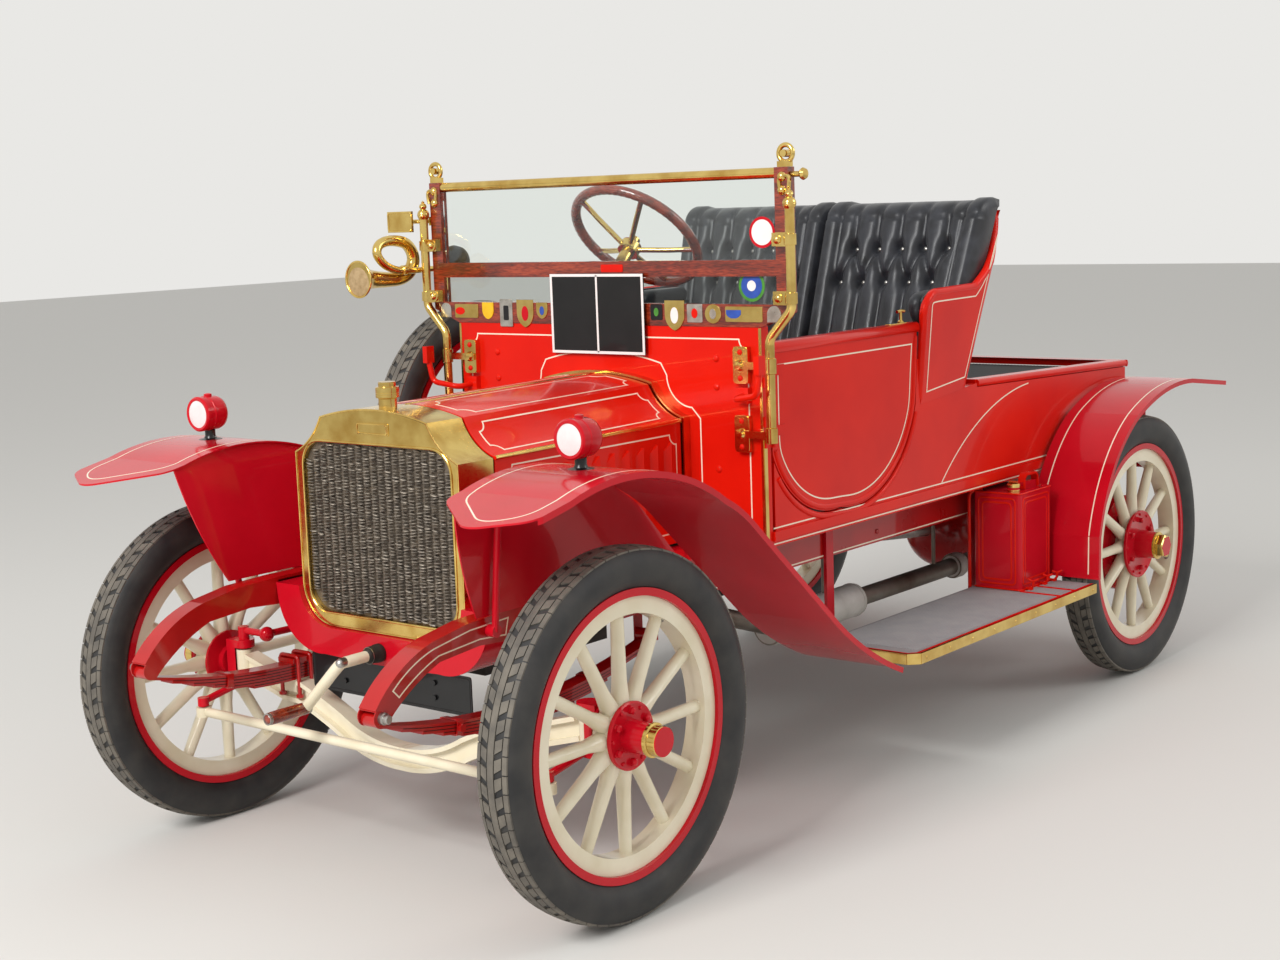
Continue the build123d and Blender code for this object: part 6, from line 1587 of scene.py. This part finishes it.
print("springs and exhaust")
seamPaint = coachEnamel("shadowed seam", {
    "deep": "#1C0404", "bright": "#260606", "mottleMm": 40.0, "gloss": 0.6, "rippleMm": 8.0, "ripple": 0.05,
    "coat": 0.0})
springForm = {"x": 380.0, "width": 44.0, "gauge": 7.0, "count": 6, "clipAt": 0.5,
              "front": {"from": -445.0, "to": 445.0, "eye": 494.0, "seat": 394.0, "boltLow": 352.0},
              "rear": {"from": 2060.0, "to": 2960.0, "eye": 520.0, "seat": 452.0, "boltLow": 398.0}}
seamMesh, clipMesh, boltMesh, nutPlaces = bmesh.new(), bmesh.new(), bmesh.new(), []
for size in (springForm["front"], springForm["rear"]):
    halfSpan, middleY = (size["to"] - size["from"]) / 2, (size["to"] + size["from"]) / 2
    topZ = size["seat"] + springForm["gauge"] * springForm["count"]
    sag = size["eye"] - topZ
    bow = (halfSpan ** 2 + sag ** 2) / (2 * sag)

    def onSpring(radius, angle, x):
        return Vector((x, middleY + radius * math.sin(angle), topZ + bow - radius * math.cos(angle)))

    for k in range(1, springForm["count"]):
        # the joint under each leaf shows as a fine dark line on both edges of the stack
        reach = math.asin(halfSpan * (1 - 0.8 * k / springForm["count"]) / bow) * 0.995
        for out in (-1, 1):
            x = springForm["x"] + out * springForm["width"] / 2
            line = [onSpring(bow + springForm["gauge"] * k, reach * (i / 12 - 1), x) for i in range(25)]
            flatStrip(seamMesh, line, (out, 0, 0), flatSection(1.6, 0.35))
    for share in (-springForm["clipAt"], springForm["clipAt"]):
        angle = math.asin(halfSpan * share / bow)
        down = Vector((0, math.sin(angle), -math.cos(angle)))
        spot = onSpring(bow, angle, springForm["x"])
        band = roundCorners(((25, -1.5), (25, 30), (-25, 30), (-25, -1.5)), 5, closed=True, gap=3.0)
        clip = [(spot + Vector((u, 0, 0)) + down * v, (Vector((u / 25, 0, 0)) + down * ((v - 14) / 16)).normalized())
                for u, v in band]
        sweepStrip(clipMesh, clip, flatSection(17, 2.6, 0.8), closed=True)
        nutPlaces.append(((springForm["x"] + 27.5, *(spot + down * 14)[1:]), toLeft))
    seatY = middleY if size is springForm["front"] else wheelBase
    for y in (seatY - 20, seatY + 20):
        x0, x1 = springForm["x"] - 32, springForm["x"] + 32
        low, high = size["boltLow"], topZ + 17
        loop = roundCorners(((x0, low), (x0, high), (x1, high), (x1, low)), 9, gap=4.0)
        tube(boltMesh, stoodUp(loop, y), 5.2, 8)
        nutPlaces += [((x, y, size["boltLow"] + 6), downward) for x in (x0, x1)]
for mesh in (seamMesh, clipMesh, boltMesh):
    addMirror(mesh)
finishPiece("springSeams", seamMesh, seamPaint, "maroon_paint", smooth=0)
finishPiece("springClips", clipMesh, shadedChassisEnamel, "maroon_paint", smooth=35)
finishPiece("springBolts", boltMesh, shadedChassisEnamel, "maroon_paint", smooth=50)
hexHeads("springNuts", bothSides(nutPlaces), 9.5, 8.0, shadedChassisEnamel)
# turned ends on the shackle pins of the dumb irons
pinMesh = bmesh.new()
lathe(pinMesh, ((0, 0), (13, 0), (13, 9), (10, 11), (10, 20), (8, 22), (0, 22)), (404.6, -445, 509), toLeft, 20)
addMirror(pinMesh)
finishPiece("ironPins", pinMesh, steel, "steel")

sheetTin = dullSurface("aluminium-painted sheet steel", {
    "clean": "#C9C6C0", "dusty": "#A5A098", "grimeMm": 90.0, "grainMm": 3.0, "gloss": 0.45, "bump": 0.2, "metal": 0.15})
drumMesh = bmesh.new()
for front, rear, radius in ((1180, 1620, 48), (2190, 2240, 38)):
    length = rear - front
    # dished ends and a raised band near each
    profile = ((0, -1.5), (radius - 8, -1.5), (radius + 0.4, 2), (radius + 0.8, 8), (radius + 2.2, 9),
               (radius + 2.2, 15), (radius + 0.8, 16), (radius + 0.8, length - 16), (radius + 2.2, length - 15),
               (radius + 2.2, length - 9), (radius + 0.8, length - 8), (radius + 0.4, length - 2),
               (radius - 8, length + 1.5), (0, length + 1.5))
    lathe(drumMesh, profile, (215, front, 350), toRear, 32)
finishPiece("silencerShell", drumMesh, sheetTin, "exhaust_steel", smooth=35)

print("camera, floor and light")
photoCamera = {"at": (3199.8, -3011.7, 1534.1), "yaw": 39.22, "pitch": -8.38, "roll": -2.03, "lensPx": 1897.8,
               "widthPx": 1280, "sensorMm": 36.0}
yaw, pitch, roll = (math.radians(photoCamera[k]) for k in ("yaw", "pitch", "roll"))
ahead = Vector((-math.sin(yaw) * math.cos(pitch), math.cos(yaw) * math.cos(pitch), math.sin(pitch)))
level = Vector((math.cos(yaw), math.sin(yaw), 0))
upright = level.cross(ahead)
across = level * math.cos(roll) + upright * math.sin(roll)
above = upright * math.cos(roll) - level * math.sin(roll)
cameraData = bpy.data.cameras.new("camera")
cameraData.sensor_width = photoCamera["sensorMm"]
cameraData.lens = photoCamera["lensPx"] * photoCamera["sensorMm"] / photoCamera["widthPx"]
camera = bpy.data.objects.new("camera", cameraData)
bpy.context.scene.collection.objects.link(camera)
turned = Matrix((across, above, -ahead)).transposed().to_4x4()
camera.matrix_world = Matrix.Translation(place(*photoCamera["at"])) @ turned
bpy.context.scene.camera = camera

studio = {"floorSize": 60.0, "floorTone": "#D9D7D2", "background": "#E9E8E5", "fill": 0.66, "keyPower": 600.0,
          "sidePower": 90.0}
floorMesh = bpy.data.meshes.new("floor")
half = studio["floorSize"] / 2
floorMesh.from_pydata([(-half, -half, 0), (half, -half, 0), (half, half, 0), (-half, half, 0)], [], [(0, 1, 2, 3)])
floor = bpy.data.objects.new("floor", floorMesh)
bpy.context.scene.collection.objects.link(floor)
floorMaterial, floorTree = startMaterial("plain pale floor")[:2]
setShader(floorTree, {"Base Color": toLinear(studio["floorTone"]), "Roughness": 0.85, "Specular IOR Level": 0.2}, {})
floorMesh.materials.append(floorMaterial)

world = bpy.data.worlds.new("studio")
bpy.context.scene.world = world
world.use_nodes = True
skyTree = world.node_tree
skyTree.nodes.clear()
rays = addNode(skyTree, "ShaderNodeLightPath")
seen = addNode(skyTree, "ShaderNodeMath", {"operation": "MAXIMUM"}, {
    0: (rays, "Is Camera Ray"), 1: (rays, "Is Glossy Ray")})
seen = addNode(skyTree, "ShaderNodeMath", {"operation": "MAXIMUM"}, {
    0: (seen, "Value"), 1: (rays, "Is Transmission Ray")})
soft = addNode(skyTree, "ShaderNodeBackground", {"Color": toLinear("#FFFFFF"), "Strength": studio["fill"]})
pale = addNode(skyTree, "ShaderNodeBackground", {"Color": toLinear(studio["background"]), "Strength": 1.0})
mix = addNode(skyTree, "ShaderNodeMixShader", links={
    0: (seen, "Value"), 1: (soft, "Background"), 2: (pale, "Background")})
addNode(skyTree, "ShaderNodeOutputWorld", links={"Surface": (mix, "Shader")})


def softBox(name, at, target, size, power):
    data = bpy.data.lights.new(name, "AREA")
    data.shape = "RECTANGLE"
    data.size, data.size_y = size
    data.energy = power
    lamp = bpy.data.objects.new(name, data)
    bpy.context.scene.collection.objects.link(lamp)
    lamp.location = Vector(at)
    lamp.rotation_euler = (Vector(target) - Vector(at)).to_track_quat("-Z", "Y").to_euler()


softBox("key light", (0.5, -8.0, 5.5), (0, -0.3, 0.7), (3.0, 3.0), studio["keyPower"])
softBox("side light", (6.0, 3.0, 4.5), (0, 0.3, 0.7), (3.0, 2.5), studio["sidePower"])
bpy.context.scene.view_settings.view_transform = "Standard"

print("done")
